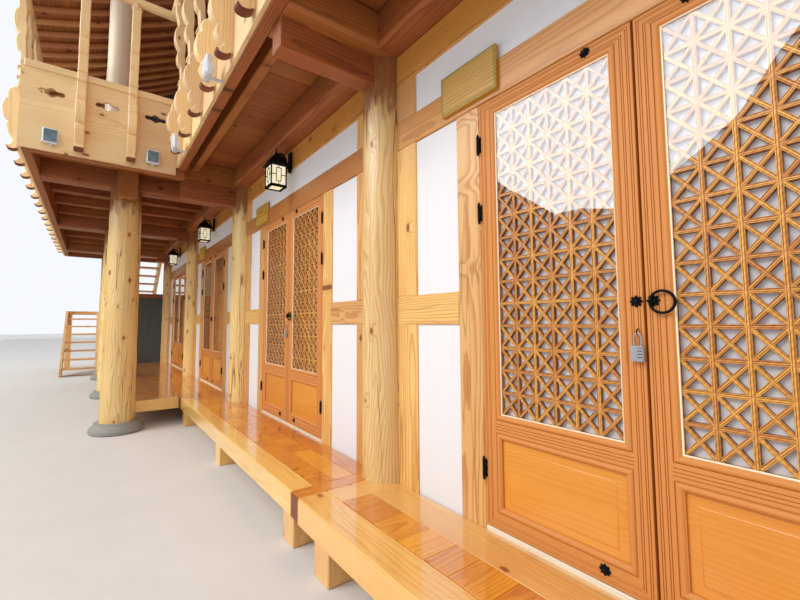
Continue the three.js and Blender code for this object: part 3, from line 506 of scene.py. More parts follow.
def speckle_group():
    """Crystals and pits of dressed stone or fired clay"""
    tree, given, put = open_group("Speckle", [
        ("Place", "vector", None), ("Base", "color", (0.4, 0.4, 0.38, 1)),
        ("Pale", "color", (0.7, 0.7, 0.68, 1)), ("Dark", "color", (0.1, 0.1, 0.1, 1)), ("Size", "value", 240.0),
    ], [("Color", "color"), ("Height", "value")])
    cells = shade_node(tree, "ShaderNodeTexVoronoi", {"Vector": given["Place"], "Scale": given["Size"]})
    pick = shade_node(tree, "ShaderNodeSeparateColor", {0: cells.outputs["Color"]}).outputs
    cloud = noise_at(tree, given["Place"], 6.0, 4.0)
    colour = blend_colour(tree, ramp_between(tree, pick[0], 0.62, 0.72), given["Base"], given["Pale"])
    colour = blend_colour(tree, ramp_between(tree, pick[1], 0.80, 0.88), colour, given["Dark"])
    stain = calc(tree, "MULTIPLY", ramp_between(tree, cloud, 0.4, 0.7), 0.35)
    colour = blend_colour(tree, stain, colour, given["Dark"])
    put("Color", colour)
    put("Height", calc(tree, "MULTIPLY_ADD", cloud, 0.8, calc(tree, "MULTIPLY", pick[2], 0.25)))
    return tree


GROUPS = {"Timber Figure": timber_figure_group, "Weather": weather_group, "Speckle": speckle_group}


def use_group(tree, name, inputs):
    """Places a shared effect in a material, building it the first time"""
    made = bpy.data.node_groups.get(name) or GROUPS[name]()
    return fill(tree, shade_node(tree, "ShaderNodeGroup", node_tree=made), inputs).outputs


def object_place(tree):
    return shade_node(tree, "ShaderNodeTexCoord").outputs["Object"]


def start_material(name):
    made = bpy.data.materials.new(name)
    made.use_nodes = True
    return made, made.node_tree


def finish_surface(made, sockets, height=None, strength=0.0, distance=0.0):
    """Feeds the surface of a material, roughened by a bump if it has a height"""
    tree = made.node_tree
    if height is not None:
        bump = shade_node(tree, "ShaderNodeBump", {"Height": height, "Strength": strength, "Distance": distance})
        sockets["Normal"] = bump.outputs[0]
    fill(tree, tree.nodes["Principled BSDF"], sockets)
    return made


def rgb(red, green, blue):
    """A colour given as it looks on screen, 0 to 255, in the scene's linear values"""
    def linear(value):
        value /= 255
        return value / 12.92 if value <= 0.04045 else ((value + 0.055) / 1.055) ** 2.4
    return (linear(red), linear(green), linear(blue), 1.0)


def wood_material(name, light, dark, knot, rings=80, wander=0.07, knots=0.4, contrast=0.5, rough=0.4, coat=0.3,
                  coat_rough=0.25, bump=0.35, head=None, checks=0.0):
    """Varnished timber; `head` is the colour of a darkening high up on a column, painted shade under the girders
    together with some staining, `checks` the strength of its drying cracks
    """
    made, tree = start_material(name)
    figure = use_group(tree, "Timber Figure", {
        "Grain": shade_node(tree, "ShaderNodeAttribute", attribute_name="grain").outputs["Vector"],
        "Tone": shade_node(tree, "ShaderNodeAttribute", attribute_name="tone").outputs["Fac"],
        "Light": rgb(*light), "Dark": rgb(*dark), "Knot": rgb(*knot), "Rings per Metre": rings, "Wander": wander,
        "Knots": knots, "Contrast": contrast, "Checks": checks})
    colour = figure["Color"]
    # Painted shade: darkens the column towards its head under the girders, mixed with some staining
    if head:
        place = object_place(tree)
        height = shade_node(tree, "ShaderNodeSeparateXYZ", {0: place}).outputs["Z"]
        hewn = noise_at(tree, scaled(tree, place, (24.0, 24.0, 6.0)), 1.0, 3.0)
        uneven = calc(tree, "MULTIPLY_ADD", hewn, 0.5, height)
        colour = blend_colour(tree, ramp_between(tree, uneven, 2.74, 3.0, 0.0, 0.9), colour, rgb(*head))
    roughness = ramp_between(tree, figure["Dark Grain"], 0.0, 1.0, rough, rough + 0.14, False)
    return finish_surface(made, {"Base Color": colour, "Roughness": roughness, "Coat Weight": coat,
                                 "Coat Roughness": coat_rough}, figure["Height"], bump, 0.0006)


def plaster_material(_):
    made, tree = start_material("white_plaster")
    place = object_place(tree)
    colour = use_group(tree, "Weather", {
        "Place": place, "Color": rgb(208, 211, 217), "Dirt": rgb(194, 194, 194), "Amount": 0.4, "Size": 1.1})["Color"]
    trowel = noise_at(tree, scaled(tree, place, (1.0, 1.0, 1.6)), 22.0, 6.0, 0.6, 0.4)
    return finish_surface(made, {"Base Color": colour, "Roughness": 0.82}, trowel, 0.35, 0.0015)


def stone_material(name):
    made, tree = start_material(name)
    place = object_place(tree)
    speckle = use_group(tree, "Speckle", {
        "Place": place, "Base": rgb(150, 149, 143), "Pale": rgb(186, 185, 180), "Dark": rgb(98, 97, 94), "Size": 230.0})
    colour = use_group(tree, "Weather", {
        "Place": place, "Color": speckle["Color"], "Dirt": rgb(96, 90, 78), "Amount": 0.5, "Size": 2.4})["Color"]
    return finish_surface(made, {"Base Color": colour, "Roughness": 0.82}, speckle["Height"], 0.5, 0.002)


def tile_material(_):
    made, tree = start_material("roof_clay")
    place = object_place(tree)
    tone = shade_node(tree, "ShaderNodeAttribute", attribute_name="tone").outputs["Fac"]
    speckle = use_group(tree, "Speckle", {
        "Place": place, "Base": rgb(62, 66, 72), "Pale": rgb(84, 88, 94), "Dark": rgb(38, 40, 44), "Size": 160.0})
    colour = use_group(tree, "Weather", {
        "Place": place, "Color": speckle["Color"], "Dirt": rgb(104, 104, 98), "Amount": 0.5, "Size": 3.0})["Color"]
    toned = shade_node(tree, "ShaderNodeHueSaturation", {
        "Value": calc(tree, "MULTIPLY_ADD", tone, 0.22, 1.0), "Color": colour}).outputs[0]
    return finish_surface(made, {"Base Color": toned, "Roughness": 0.55}, speckle["Height"], 0.4, 0.0015)


def paper_material(_):
    made, tree = start_material("door_paper")
    place = object_place(tree)
    fibres = noise_at(tree, scaled(tree, place, (60.0, 60.0, 220.0)), 1.0, 4.0, 0.7, 1.2)
    # The paper's grey is its own pale colour darkened by painted shade, standing for the shadow the lattice casts on it
    colour = blend_colour(tree, ramp_between(tree, fibres, 0.45, 0.75), rgb(180, 178, 182), rgb(158, 156, 162))
    return finish_surface(made, {"Base Color": colour, "Roughness": 0.75}, fibres, 0.3, 0.0004)


def metal_material(name, rough, colour, worn):
    made, tree = start_material(name)
    place = object_place(tree)
    cloud = noise_at(tree, place, 140.0, 4.0)
    colour = blend_colour(tree, ramp_between(tree, cloud, 0.55, 0.8), rgb(*colour), rgb(*worn))
    roughness = ramp_between(tree, cloud, 0.3, 0.8, rough, rough + 0.2)
    return finish_surface(made, {"Base Color": colour, "Roughness": roughness, "Metallic": 0.6}, cloud, 0.35, 0.0006)


def see_through_material(name):
    """Clear glass that lets lamp light through to what lies behind it"""
    made, tree = start_material(name)
    place = object_place(tree)
    tint = (0.97, 0.98, 0.98, 1)
    smear = ramp_between(tree, noise_at(tree, place, 5.0, 3.0), 0.4, 0.8, 0.0, 0.03)
    finish_surface(made, {"Base Color": tint, "Transmission Weight": 1.0, "IOR": 1.5, "Roughness": smear},
                   noise_at(tree, place, 3.0, 1.0), 0.12, 0.004)
    path = shade_node(tree, "ShaderNodeLightPath").outputs
    plain = calc(tree, "MAXIMUM", path["Is Shadow Ray"], path["Is Diffuse Ray"])
    clear = shade_node(tree, "ShaderNodeBsdfTransparent", {"Color": tint}).outputs[0]
    glass = tree.nodes["Principled BSDF"].outputs[0]
    either = shade_node(tree, "ShaderNodeMixShader", {0: plain, 1: glass, 2: clear})
    tree.links.new(either.outputs[0], tree.nodes["Material Output"].inputs["Surface"])
    return made


def milk_glass_material(name):
    """Cream lantern glass with a faint glow"""
    made, tree = start_material(name)
    place = object_place(tree)
    cloud = noise_at(tree, place, 26.0, 3.0)
    colour = blend_colour(tree, ramp_between(tree, cloud, 0.35, 0.7), rgb(254, 250, 226), rgb(246, 236, 190))
    return finish_surface(made, {"Base Color": colour, "Emission Color": colour, "Emission Strength": 0.55,
                                 "Roughness": 0.25}, cloud, 0.3, 0.001)


def painted_material(name, base, worn, rough=0.6, size=7.0):
    made, tree = start_material(name)
    place = object_place(tree)
    cloud = noise_at(tree, place, size, 5.0, 0.6)
    colour = blend_colour(tree, ramp_between(tree, cloud, 0.4, 0.75), rgb(*base), rgb(*worn))
    roughness = ramp_between(tree, cloud, 0.3, 0.8, rough, rough + 0.15)
    return finish_surface(made, {"Base Color": colour, "Roughness": roughness},
                          noise_at(tree, place, 180.0, 3.0), 0.25, 0.0006)


# Timber finishes as they look on screen: pale wood, dark rings and knots, and how each differs from plain pine
TIMBERS = {
    # column_pine's head colour is painted shade at the column tops under the girders, with some staining
    "column_pine": ((242, 214, 148), (212, 156, 80), (150, 82, 40),
                    dict(rings=55, wander=0.22, knots=0.8, bump=0.45, head=(132, 72, 28), checks=0.9)),
    "upper_pine": ((246, 232, 206), (230, 204, 162), (170, 110, 64),
                   dict(rings=60, wander=0.12, knots=0.35, contrast=0.3, rough=0.45, coat=0.2)),
    "wall_pine": ((232, 186, 116), (196, 128, 58), (120, 60, 24),
                  dict(rings=70, knots=0.55, contrast=0.62, checks=0.4)),
    "beam_pine": ((206, 142, 70), (166, 92, 36), (110, 56, 24), dict(wander=0.06, knots=0.35)),
    "girder_pine": ((176, 108, 54), (124, 64, 28), (76, 34, 14), dict(rough=0.42, coat=0.2)),
    "rafter_pine": ((206, 146, 92), (166, 104, 58), (100, 52, 24), dict(rough=0.45, coat=0.15)),
    "soffit_pine": ((166, 98, 50), (112, 56, 24), (64, 28, 12), dict(wander=0.06, knots=0.45, rough=0.42, coat=0.2)),
    "door_pine": ((228, 156, 66), (190, 110, 32), (140, 66, 24),
                  dict(rings=120, wander=0.03, knots=0.04, contrast=0.4, rough=0.32, coat=0.5, coat_rough=0.18,
                       bump=0.25)),
    "panel_pine": ((234, 162, 62), (214, 136, 38), (150, 76, 30),
                   dict(rings=70, wander=0.05, knots=0.0, contrast=0.3, rough=0.32, coat=0.5, coat_rough=0.2,
                        bump=0.2)),
    "lattice_pine": ((236, 172, 80), (192, 114, 38), (150, 84, 40),
                     dict(rings=150, wander=0.02, knots=0.0, contrast=0.4, rough=0.45, coat=0.15)),
    # Painted shade for the sides, grooves and backs of the lattice bars
    "lattice_side": ((170, 98, 48), (120, 60, 26), (90, 44, 20),
                     dict(rings=150, wander=0.02, knots=0.0, contrast=0.4, rough=0.5, coat=0.1)),
    "bead_pine": ((246, 236, 212), (232, 212, 176), (190, 130, 70),
                  dict(rings=120, wander=0.02, knots=0.0, contrast=0.3, rough=0.35, coat=0.4)),
    "deck_wood": ((228, 152, 48), (186, 100, 20), (112, 52, 18),
                  dict(rings=75, wander=0.08, knots=0.3, rough=0.2, coat=1.0, coat_rough=0.07, bump=0.15)),
    "deck_border": ((240, 192, 110), (220, 150, 68), (140, 76, 28),
                    dict(rings=70, wander=0.08, knots=0.35, contrast=0.45, rough=0.2, coat=1.0, coat_rough=0.08,
                         bump=0.15)),
    "balcony_pine": ((240, 210, 160), (214, 172, 118), (150, 76, 42),
                     dict(rings=75, wander=0.08, knots=0.6, contrast=0.45, rough=0.45, coat=0.15)),
    "end_grain": ((132, 66, 40), (92, 42, 24), (60, 26, 14),
                  dict(rings=160, wander=0.02, knots=0.0, contrast=0.4, coat=0.2, rough=0.5)),
    "plaque_face": ((216, 172, 62), (178, 128, 40), (120, 76, 26),
                    dict(rings=60, wander=0.05, knots=0.2, contrast=0.6, rough=0.45, coat=0.2)),
}
PAINTS = {
    "slate": ((84, 92, 88), (66, 74, 72)), "plaque_edge": ((112, 146, 58), (168, 158, 66), 0.5, 30.0),
    "lamp_case": ((214, 220, 228), (190, 196, 204), 0.4, 20.0),
    "lamp_lens": ((88, 108, 122), (120, 138, 150), 0.2, 8.0),
}
METALS = {"iron": (0.24, (30, 30, 34), (48, 48, 52)), "steel": (0.34, (196, 200, 206), (172, 176, 184))}
OTHERS = {"plaster": plaster_material, "stone": stone_material, "roof_clay": tile_material, "paper": paper_material,
          "door_glass": see_through_material, "lantern_glass": milk_glass_material}


def finish_material(name):
    made = bpy.data.materials.get(name)
    if made:
        return made
    if name in TIMBERS:
        *colours, looks = TIMBERS[name]
        return wood_material(name, *colours, **looks)
    if name in PAINTS:
        return painted_material(name, *PAINTS[name])
    return metal_material(name, *METALS[name]) if name in METALS else OTHERS[name](name)


# Columns

def log_shape(x, y, z0, z1, foot, head, seed, sides=36, steps=30, wobble=4.0, cracks=()):
    """A hand-planed log with drying cracks: each crack is (angle from the front, low, high, depth)"""
    angles = [-math.pi + 2 * math.pi * i / sides for i in range(sides)]
    for angle, *_ in cracks:
        centre = math.radians(angle)
        angles = [a for a in angles if abs(a - centre) > 0.05] + [centre - 0.03, centre - 0.012, centre, centre + 0.012,
                                                                 centre + 0.03]
    angles.sort()
    rings = []
    for s in range(steps + 1):
        t = s / steps
        z = z0 + (z1 - z0) * t
        ring = []
        for angle in angles:
            radius = foot + (head - foot) * t
            dx, dy = math.sin(angle), -math.cos(angle)
            radius += wobble * swelling(seed, dx * radius, dy * radius, z * 0.35, 90)
            radius += 0.4 * wobble * swelling(seed + 5, dx * radius, dy * radius, z, 130)
            for crack, low, high, depth in cracks:
                bend = 0.05 * swelling(seed + 9, z, crack, 0, 500)
                if abs(angle - math.radians(crack)) < 0.006 and low < z < high:
                    ease = min(1.0, (z - low) / 220, (high - z) / 220)
                    radius -= depth * ease * (0.75 + bend)
            ring.append((x + dx * radius, y + dy * radius, z))
        rings.append(ring)
    return ring_shape(rings)


def log_grain(x, y, girth):
    """Board coordinates of a round log: up, round from the front, and a fixed depth"""
    return lambda p: (p[2] * MM, math.atan2(p[0] - x, y - p[1]) * girth * MM, 0.03)


def add_log(work, x, y, z0, z1, foot, head, seed, finish=0, **options):
    work.add(log_shape(x, y, z0, z1, foot, head, seed, **options), "z", finish, grain=log_grain(x, y, foot), pith=70)


def raise_front_columns(sizes):
    for i in range(BAYS + 1):
        work = Work(f"front_column_{i + 1}_log", 11 + i)
        cracks = ((93, 240, 2860, 14), (13, 900, 2250, 7)) if i == 1 else ((84, 300, 2700, 9), (50, 700, 1900, 4))
        add_log(work, column_axis(i), COLUMN_Y, PLINTH_TOP + GAP, GIRDER_LOW + 64, COLUMN_R, COLUMN_R - 3, 3 + i,
                wobble=sizes.log_wobble * 1000, cracks=cracks)
        work.build(["column_pine"], [f"front_column_{i + 1}"], "pine")


def raise_pavilion_columns(sizes):
    for i, x in enumerate(PAVILION_X):
        work = Work(f"pavilion_column_{i + 1}_log", 21 + i)
        add_log(work, x, PAVILION_Y, 120.3, JOIST_LOW, 180, 165, 13 + i, sides=44, steps=34,
                wobble=sizes.log_wobble * 1600, cracks=((30, 300, 2500, 10), (95, 900, 2750, 8)))
        work.build(["column_pine"], [f"pavilion_column_{i + 1}"], "pine")
        base = Work(f"pavilion_stone_{i + 1}_dressed", 31 + i)
        profile = [(0, 262), (8, 274), (30, 280), (52, 274), (80, 250), (96, 236), (104, 232), (110, 231), (118, 229),
                   (120, 224)]
        base.turned((x, PAVILION_Y, 0), profile, 48)
        base.build(["stone"], [f"pavilion_stone_{i + 1}"], "stone")


# Front wall of the ground storey

def build_front_piers():
    for i in range(BAYS + 1):
        x = column_x(i)
        work = Work(f"front_pier_{i + 1}_timbers", 41 + i)
        low = PLINTH_TOP + GAP
        for side in (-1, 1):
            if (side < 0 and i == BAYS) or (side > 0 and i == 0):
                work.board(x, side * END_FACE, 0, WALL, low, DOOR_HEAD, "z")
                continue
            start, post, panel, jamb = (x + side * d for d in (90, POST_END[side], PANEL_END, PIER_HALF))
            work.board(start, post, 0, WALL, low, RAIL_LOW, "z", 4)
            work.board(start, post, 0, WALL, RAIL_HIGH, DOOR_HEAD, "z", 4)
            work.board(start, panel, 0, WALL, RAIL_LOW, RAIL_HIGH, "x", 4)
            work.board(panel, jamb, 0, WALL, low, DOOR_HEAD, "z", 5)
            work.board(post - side * 5, panel + side * 5, 11.5, WALL - 11.5, low, DOOR_HEAD - 2, "z", 1, finish=1)
        work.build(["wall_pine", "plaster"], [f"front_pier_{i + 1}"], "plaster")


def build_over_door_wall():
    work = Work("over_door_timbers", 51)
    low, high = DOOR_HEAD + GAP, GIRDER_LOW - GAP
    for bay in range(BAYS):
        right, left = column_x(bay), column_x(bay + 1)
        work.board(left + 90, right - 90, 0, WALL, low, TRANSOM_TOP, "x", 5, finish=2)
        work.board(left + 90, right - 90, 0, WALL, BEAM_LOW, high, "x", 5, finish=2)
        work.board(left + 90, right - 90, 11.5, WALL - 11.5, TRANSOM_TOP - 4, BEAM_LOW + 4, "x", 1, finish=1)
        for a, b in ((left + 90, left + POST_END[1]), (right - POST_END[-1], right - 90)):
            work.board(a, b, 0, WALL, TRANSOM_TOP, BEAM_LOW, "z", 4)
    for x in (-END_FACE, END_FACE - 95):
        work.board(x, x + 95, 0, WALL, low, high, "z")
    work.build(["wall_pine", "plaster", "beam_pine"], ["over_door_wall"], "plaster")


def lay_ground_floor():
    work = Work("ground_floor_boards", 61)
    inner, low = HALF_LENGTH - 95.3, PLINTH_TOP + GAP
    for a, b in strips(46, -inner, inner):
        work.board(a, b - 1.5, WALL + GAP, DEPTH - WALL - GAP, low, FLOOR_TOP, "y", 2)
    for bay in range(BAYS):
        c, half = bay_centre(bay), 699.7
        work.board(c - half, c + half, 0, WALL + 0.6, low, SILL_TOP, "x", finish=1)
    work.build(["deck_wood", "bead_pine"], ["ground_floor"], "pine")


# Door leaves, drawn from the hinge line: u across the leaf, v up, h out of its face

LEAF_START = 3
LEAF_END = 695.5
LEAF_THICK = 36
LATTICE_A = 93
LATTICE_B = 615.5
RING_WIDE = 28
OUTER_WIDE = 44
GROOVE = 4.5
BAR_FACE = -12.4
BAR_BACK = -33
PETAL_SIDES = 32


def moulded_ring(work, place, rect, profile, mirrored, finish=0):
    """Four mitred lengths of a moulding round a rectangle; profile holds (inwards, out of the face)"""
    u0, u1, v0, v1 = rect
    for k in range(4):
        ends = []
        for corner in (k, (k + 1) % 4):
            for d, h in profile:
                u, v = ((u0 + d, v0 + d), (u1 - d, v0 + d), (u1 - d, v1 - d), (u0 + d, v1 - d))[corner]
                ends.append(place(u, v, h))
        shape = turned_over((ends, tube_faces(len(profile))), (signed_area(profile) < 0) != mirrored)
        work.add(shape, "xz"[k % 2], finish)


def grooved(width, grooves, depth, back):
    """Closed outline of a moulding that is flat but for V grooves at the given places"""
    outline = [(0, back), (0, -1.5), (1.5, 0)]
    for place in grooves:
        outline += [(place - 1.5, 0), (place, -depth), (place + 1.5, 0)]
    return outline + [(width, 0), (width, back)]


def lattice_bar(work, place, mirrored, start, end, width, front, back):
    """One lattice bar with eased edges and a fine groove along its face; its sides, grooves and back take a darker
    finish, painted shade
    """
    across = Vector((end[0] - start[0], end[1] - start[1])).normalized().orthogonal()
    half = width / 2
    right = [(1.8, front), (2.7, front - 1.4), (3.6, front), (half - 1.4, front), (half, front - 2), (half, back)]
    section = [(-u, h) for u, h in right[::-1]] + right
    count = len(section)
    points = [place(p[0] + across.x * s, p[1] + across.y * s, h) for p in (start, end) for s, h in section]
    origin = Vector(points[0])
    run = (Vector(points[count]) - origin).normalized()
    work.add(turned_over((points, tube_faces(count)[:count]), mirrored), "x", 2,
             grain=lambda p: ((Vector(p) - origin).dot(run) * MM, (p[0] - p[2]) * 0.3 * MM, p[1] * MM), pith=40)
    # Painted shade: the side walls, grooves and back of the bar take the darker lattice finish
    for i in (0, 3, 4, 7, 8, count - 2, count - 1):
        work.finish[i - count] = 4


def clipped(start, slope, u0, u1, v0, v1):
    """Ends of a line through start with the given slope, kept inside a rectangle"""
    ends = []
    for u in (u0, u1):
        v = start[1] + slope * (u - start[0])
        ends += [(u, v)] if v0 <= v <= v1 else []
    for v in (v0, v1):
        u = start[0] + (v - start[1]) / slope
        ends += [(u, v)] if u0 < u < u1 else []
    ends.sort()
    return (ends[0], ends[-1]) if len(ends) > 1 and ends[-1][0] - ends[0][0] > 12 else None


def leaf_joinery(work, place, mirrored, bar):
    outer = (LEAF_START, LEAF_END, LEAF_LOW, LEAF_HIGH)
    back = -LEAF_THICK
    moulded_ring(work, place, outer, grooved(OUTER_WIDE, (10.5, 17.5, 31.5, 38.5), GROOVE, back), mirrored)
    band = [(0, back), (0, 0), (1.5, 0), (3.2, -GROOVE), (5, 0.2), (8, 2.6), (13, 4), (18, 3.4), (22.5, 0.6), (25, -3.5),
            (28, -5), (28, back)]
    a, b = LATTICE_A - RING_WIDE, LATTICE_B + RING_WIDE
    for low, high in ((LATTICE_LOW, LATTICE_HIGH), (PANEL_LOW, PANEL_HIGH)):
        moulded_ring(work, place, (a, b, low - RING_WIDE, high + RING_WIDE), band, mirrored)
    inner = (LEAF_START + OUTER_WIDE, LEAF_END - OUTER_WIDE, LEAF_LOW + OUTER_WIDE, LEAF_HIGH - OUTER_WIDE)

    def flat(u0, u1, v0, v1, along):
        p, q = place(u0, v0, 0), place(u1, v1, back)
        work.board(p[0], q[0], p[1], q[1], p[2], q[2], along, 0.2)
    flat(inner[0], a, inner[2], inner[3], "z")
    flat(b, inner[1], inner[2], inner[3], "z")
    flat(a, b, inner[2], PANEL_LOW - RING_WIDE, "x")
    rail_low, rail_high = PANEL_HIGH + RING_WIDE, LATTICE_LOW - RING_WIDE
    outline = [(-h, rail_low + d) for d, h in grooved(rail_high - rail_low, (14, 26, 38), GROOVE, back)]
    ends = sorted((place(a, 0, 0)[0], place(b, 0, 0)[0]))
    work.prism(outline, "x", *ends)
    opening = (LATTICE_A, LATTICE_B, LATTICE_LOW, LATTICE_HIGH)
    bead = [(0, -9), (0, -5.2), (1.0, -4.4), (3.4, -4.8), (4.6, -6.4), (5.0, -8), (5.0, -9)]
    moulded_ring(work, place, opening, bead, mirrored, finish=3)
    panel_loops = []
    for inset, h in ((-6, -27), (-6, -15), (0, -15), (34, -8.6), (37, -5.8), (39, -5.4)):
        u0, u1, v0, v1 = LATTICE_A + inset, LATTICE_B - inset, PANEL_LOW + inset, PANEL_HIGH - inset
        loop = [place(u0, v0, h), place(u1, v0, h), place(u1, v1, h), place(u0, v1, h)]
        panel_loops.append(loop[::-1] if mirrored else loop)
    work.add(ring_shape(panel_loops), "x", 1)

    u0, u1, v0, v1 = opening
    columns, rows = 6, 14
    step_u, step_v = (u1 - u0) / columns, (v1 - v0) / rows
    for k in range(1, columns):
        lattice_bar(work, place, mirrored, (u0 + k * step_u, v0), (u0 + k * step_u, v1), bar, BAR_FACE, BAR_BACK)
    for k in range(1, rows):
        v = v0 + k * step_v
        lattice_bar(work, place, mirrored, (u0, v), (u1, v), bar, BAR_FACE - 0.4, BAR_BACK)
    slope = step_v / step_u
    for k in range(-columns + 1, rows):
        for sign, depth in ((1, 0.8), (-1, 1.2)):
            start = (u0 if sign > 0 else u1, v0 + k * step_v)
            ends = clipped(start, sign * slope, u0, u1, v0, v1)
            if ends:
                lattice_bar(work, place, mirrored, *ends, bar * 0.9, BAR_FACE - depth, BAR_BACK)


def flower_boss(work, place, mirrored, u, v, radius):
    """Eight-petalled iron boss on the face of a leaf"""
    rings = []
    for scale, h, lobed in ((1.0, 0, 1), (1.06, 2.4, 1), (0.96, 5.4, 1), (0.78, 7.2, 0.9), (0.58, 6.0, 0.6), (0.48, 4.6, 0),
                            (0.44, 8.0, 0), (0.28, 11.4, 0), (0.06, 12.6, 0)):
        ring = []
        for angle in around(PETAL_SIDES):
            r = radius * scale * (1 - 0.34 * lobed * (1 - abs(math.cos(4 * angle))))
            ring.append(place(u + r * math.cos(angle), v + r * math.sin(angle), h))
        rings.append(ring[::-1] if mirrored else ring)
    work.add(ring_shape(rings), "z")


def leaf_hinge(work, place, z):
    x = place(0, 0, 0)[0]
    profile = [(-54, 1.5), (-52, 4), (-49, 3), (-47, 6), (-44, 6), (-42, 4), (-40, 7), (-15, 7), (-14, 6.2),
               (-13, 7), (13, 7), (14, 6.2), (15, 7), (40, 7), (42, 4), (44, 6), (47, 6), (49, 3), (52, 4), (54, 1.5)]
    work.turned((x, -9.5, z), profile, 12, tone=0)
    outline = [(0, -36), (4, -41), (9, -38), (11, -28), (8, -16), (11, -4), (11, 4), (8, 16), (11, 28), (9, 38),
               (4, 41), (0, 36)]
    side = 1 if place(1, 0, 0)[0] > x else -1
    work.prism([(x + side * (u + 4), z + v) for u, v in outline], "y", -3.2, 0.4, tone=0)


def ring_handle(work, place, u, v):
    centre = place(u, v, 15)
    ring = [(centre[0] + 36 * math.cos(t), centre[1], centre[2] + 36 * math.sin(t)) for t in around(36)]
    work.rod(ring, 4.6, 10, closed=True, tone=0)
    eye = place(u + 33, v + 6, 12)
    loop = [(eye[0], eye[1] + 8 * math.cos(t), eye[2] + 8 * math.sin(t)) for t in around(16)]
    work.rod(loop, 2.6, 8, closed=True, tone=0)


def padlock(work, place, u, v):
    """Small combination padlock, unmarked, hanging from a staple"""
    x, _, z = place(u, v, 0)
    staple = [(x, -1 - 15 * math.sin(t), z + 10 * math.cos(t)) for t in spaced(10, 0, math.pi)]
    work.rod(staple, 2.2, 8, tone=0)
    y = -13
    legs = [(x - 11, y, z - 52), (x - 11, y, z - 20)]
    legs += [(x - 11 * math.cos(t), y, z - 20 + 16 * math.sin(t)) for t in (math.pi * k / 12 for k in range(1, 12))]
    legs += [(x + 11, y, z - 20), (x + 11, y, z - 52)]
    work.rod(legs, 2.6, 10, finish=1, tone=0)
    outline = [(x - 20, z - 50), (x - 20, z - 94), (x - 17, z - 99), (x + 17, z - 99), (x + 20, z - 94), (x + 20, z - 50),
               (x + 17, z - 46), (x - 17, z - 46)]
    work.prism(outline, "y", y - 9, y + 9, finish=1, tone=0)
    for k in range(4):
        dial = z - 58 - 10.4 * k
        work.board(x + 2, x + 17, y - 10.4, y - 8, dial - 3.2, dial + 3.2, "x", 1.2, finish=1, tone=0)
        work.board(x + 1, x + 18, y - 9.4, y - 8.6, dial + 3.4, dial + 5.4, "x", 0.2, tone=0)


def hang_doors(sizes):
    for bay in range(BAYS):
        for side in ("left", "right"):
            mirrored = side == "right"
            sign = -1 if mirrored else 1
            hinge_x = bay_centre(bay) - sign * 700

            def place(u, v, h, x=hinge_x, s=sign):
                return (x + s * u, -h, v)
            node, body = f"door_{bay + 1}_{side}", f"leaf_{bay + 1}_{side}"
            seed = 71 + 10 * bay + mirrored
            work = Work(f"{node}_joinery", seed)
            leaf_joinery(work, place, mirrored, sizes.lattice_bar * 1000)
            # The last finish paints shade on the lattice bars' sides and grooves
            finishes = ["door_pine", "panel_pine", "lattice_pine", "bead_pine", "lattice_side"]
            work.build(finishes, [node], "door_pine", body)
            glass = Work(f"{node}_glass", seed)
            a, b = place(LATTICE_A + 1, 0, 0)[0], place(LATTICE_B - 1, 0, 0)[0]
            glass.board(a, b, 8.9, 11.6, LATTICE_LOW + 1, LATTICE_HIGH - 1, "z", 0.2)
            glass.build(["door_glass"], (), "paper", body)
            paper = Work(f"{node}_paper", seed)
            paper.board(a, b, 33.2, 34.4, LATTICE_LOW + 1, LATTICE_HIGH - 1, "z", 0.2)
            paper.build(["paper"], (), "paper", body)
            iron = Work(f"{node}_ironwork", seed)
            for z in (2130, 1790, 591):
                leaf_hinge(iron, place, z)
            for v in (2306, 388):
                flower_boss(iron, place, mirrored, 533, v, 20)
            flower_boss(iron, place, mirrored, 673 if mirrored else 675, 1333, 20)
            if mirrored:
                ring_handle(iron, place, 643, 1328)
            elif bay < 2:
                padlock(iron, place, 677, 1229)
            iron.build(["iron", "steel"], (), "iron", body)


# Decks

def cross_boards(work, x0, x1, y0, y1, finish=0):
    """Short boards across a strip of deck, in uneven widths"""
    x = x0
    while x < x1 - 1:
        wide = work.draw.uniform(125, 215)
        end = x1 if x1 - x - wide < 90 else x + wide
        work.board(x + 0.7, end - 0.7, y0 + 0.7, y1 - 0.7, DECK_TOP - 40, DECK_TOP, "y", 1.4, finish)
        x = end


def deck_leg(work, x, y):
    work.board(x - 74.5, x + 74.5, y, y + 149, 0, DECK_TOP - 39, "z", 5, finish=1)
    work.board(x - 70, x + 70, y + 10, -1, PLINTH_TOP + GAP, DECK_TOP - 41, "y", finish=1)


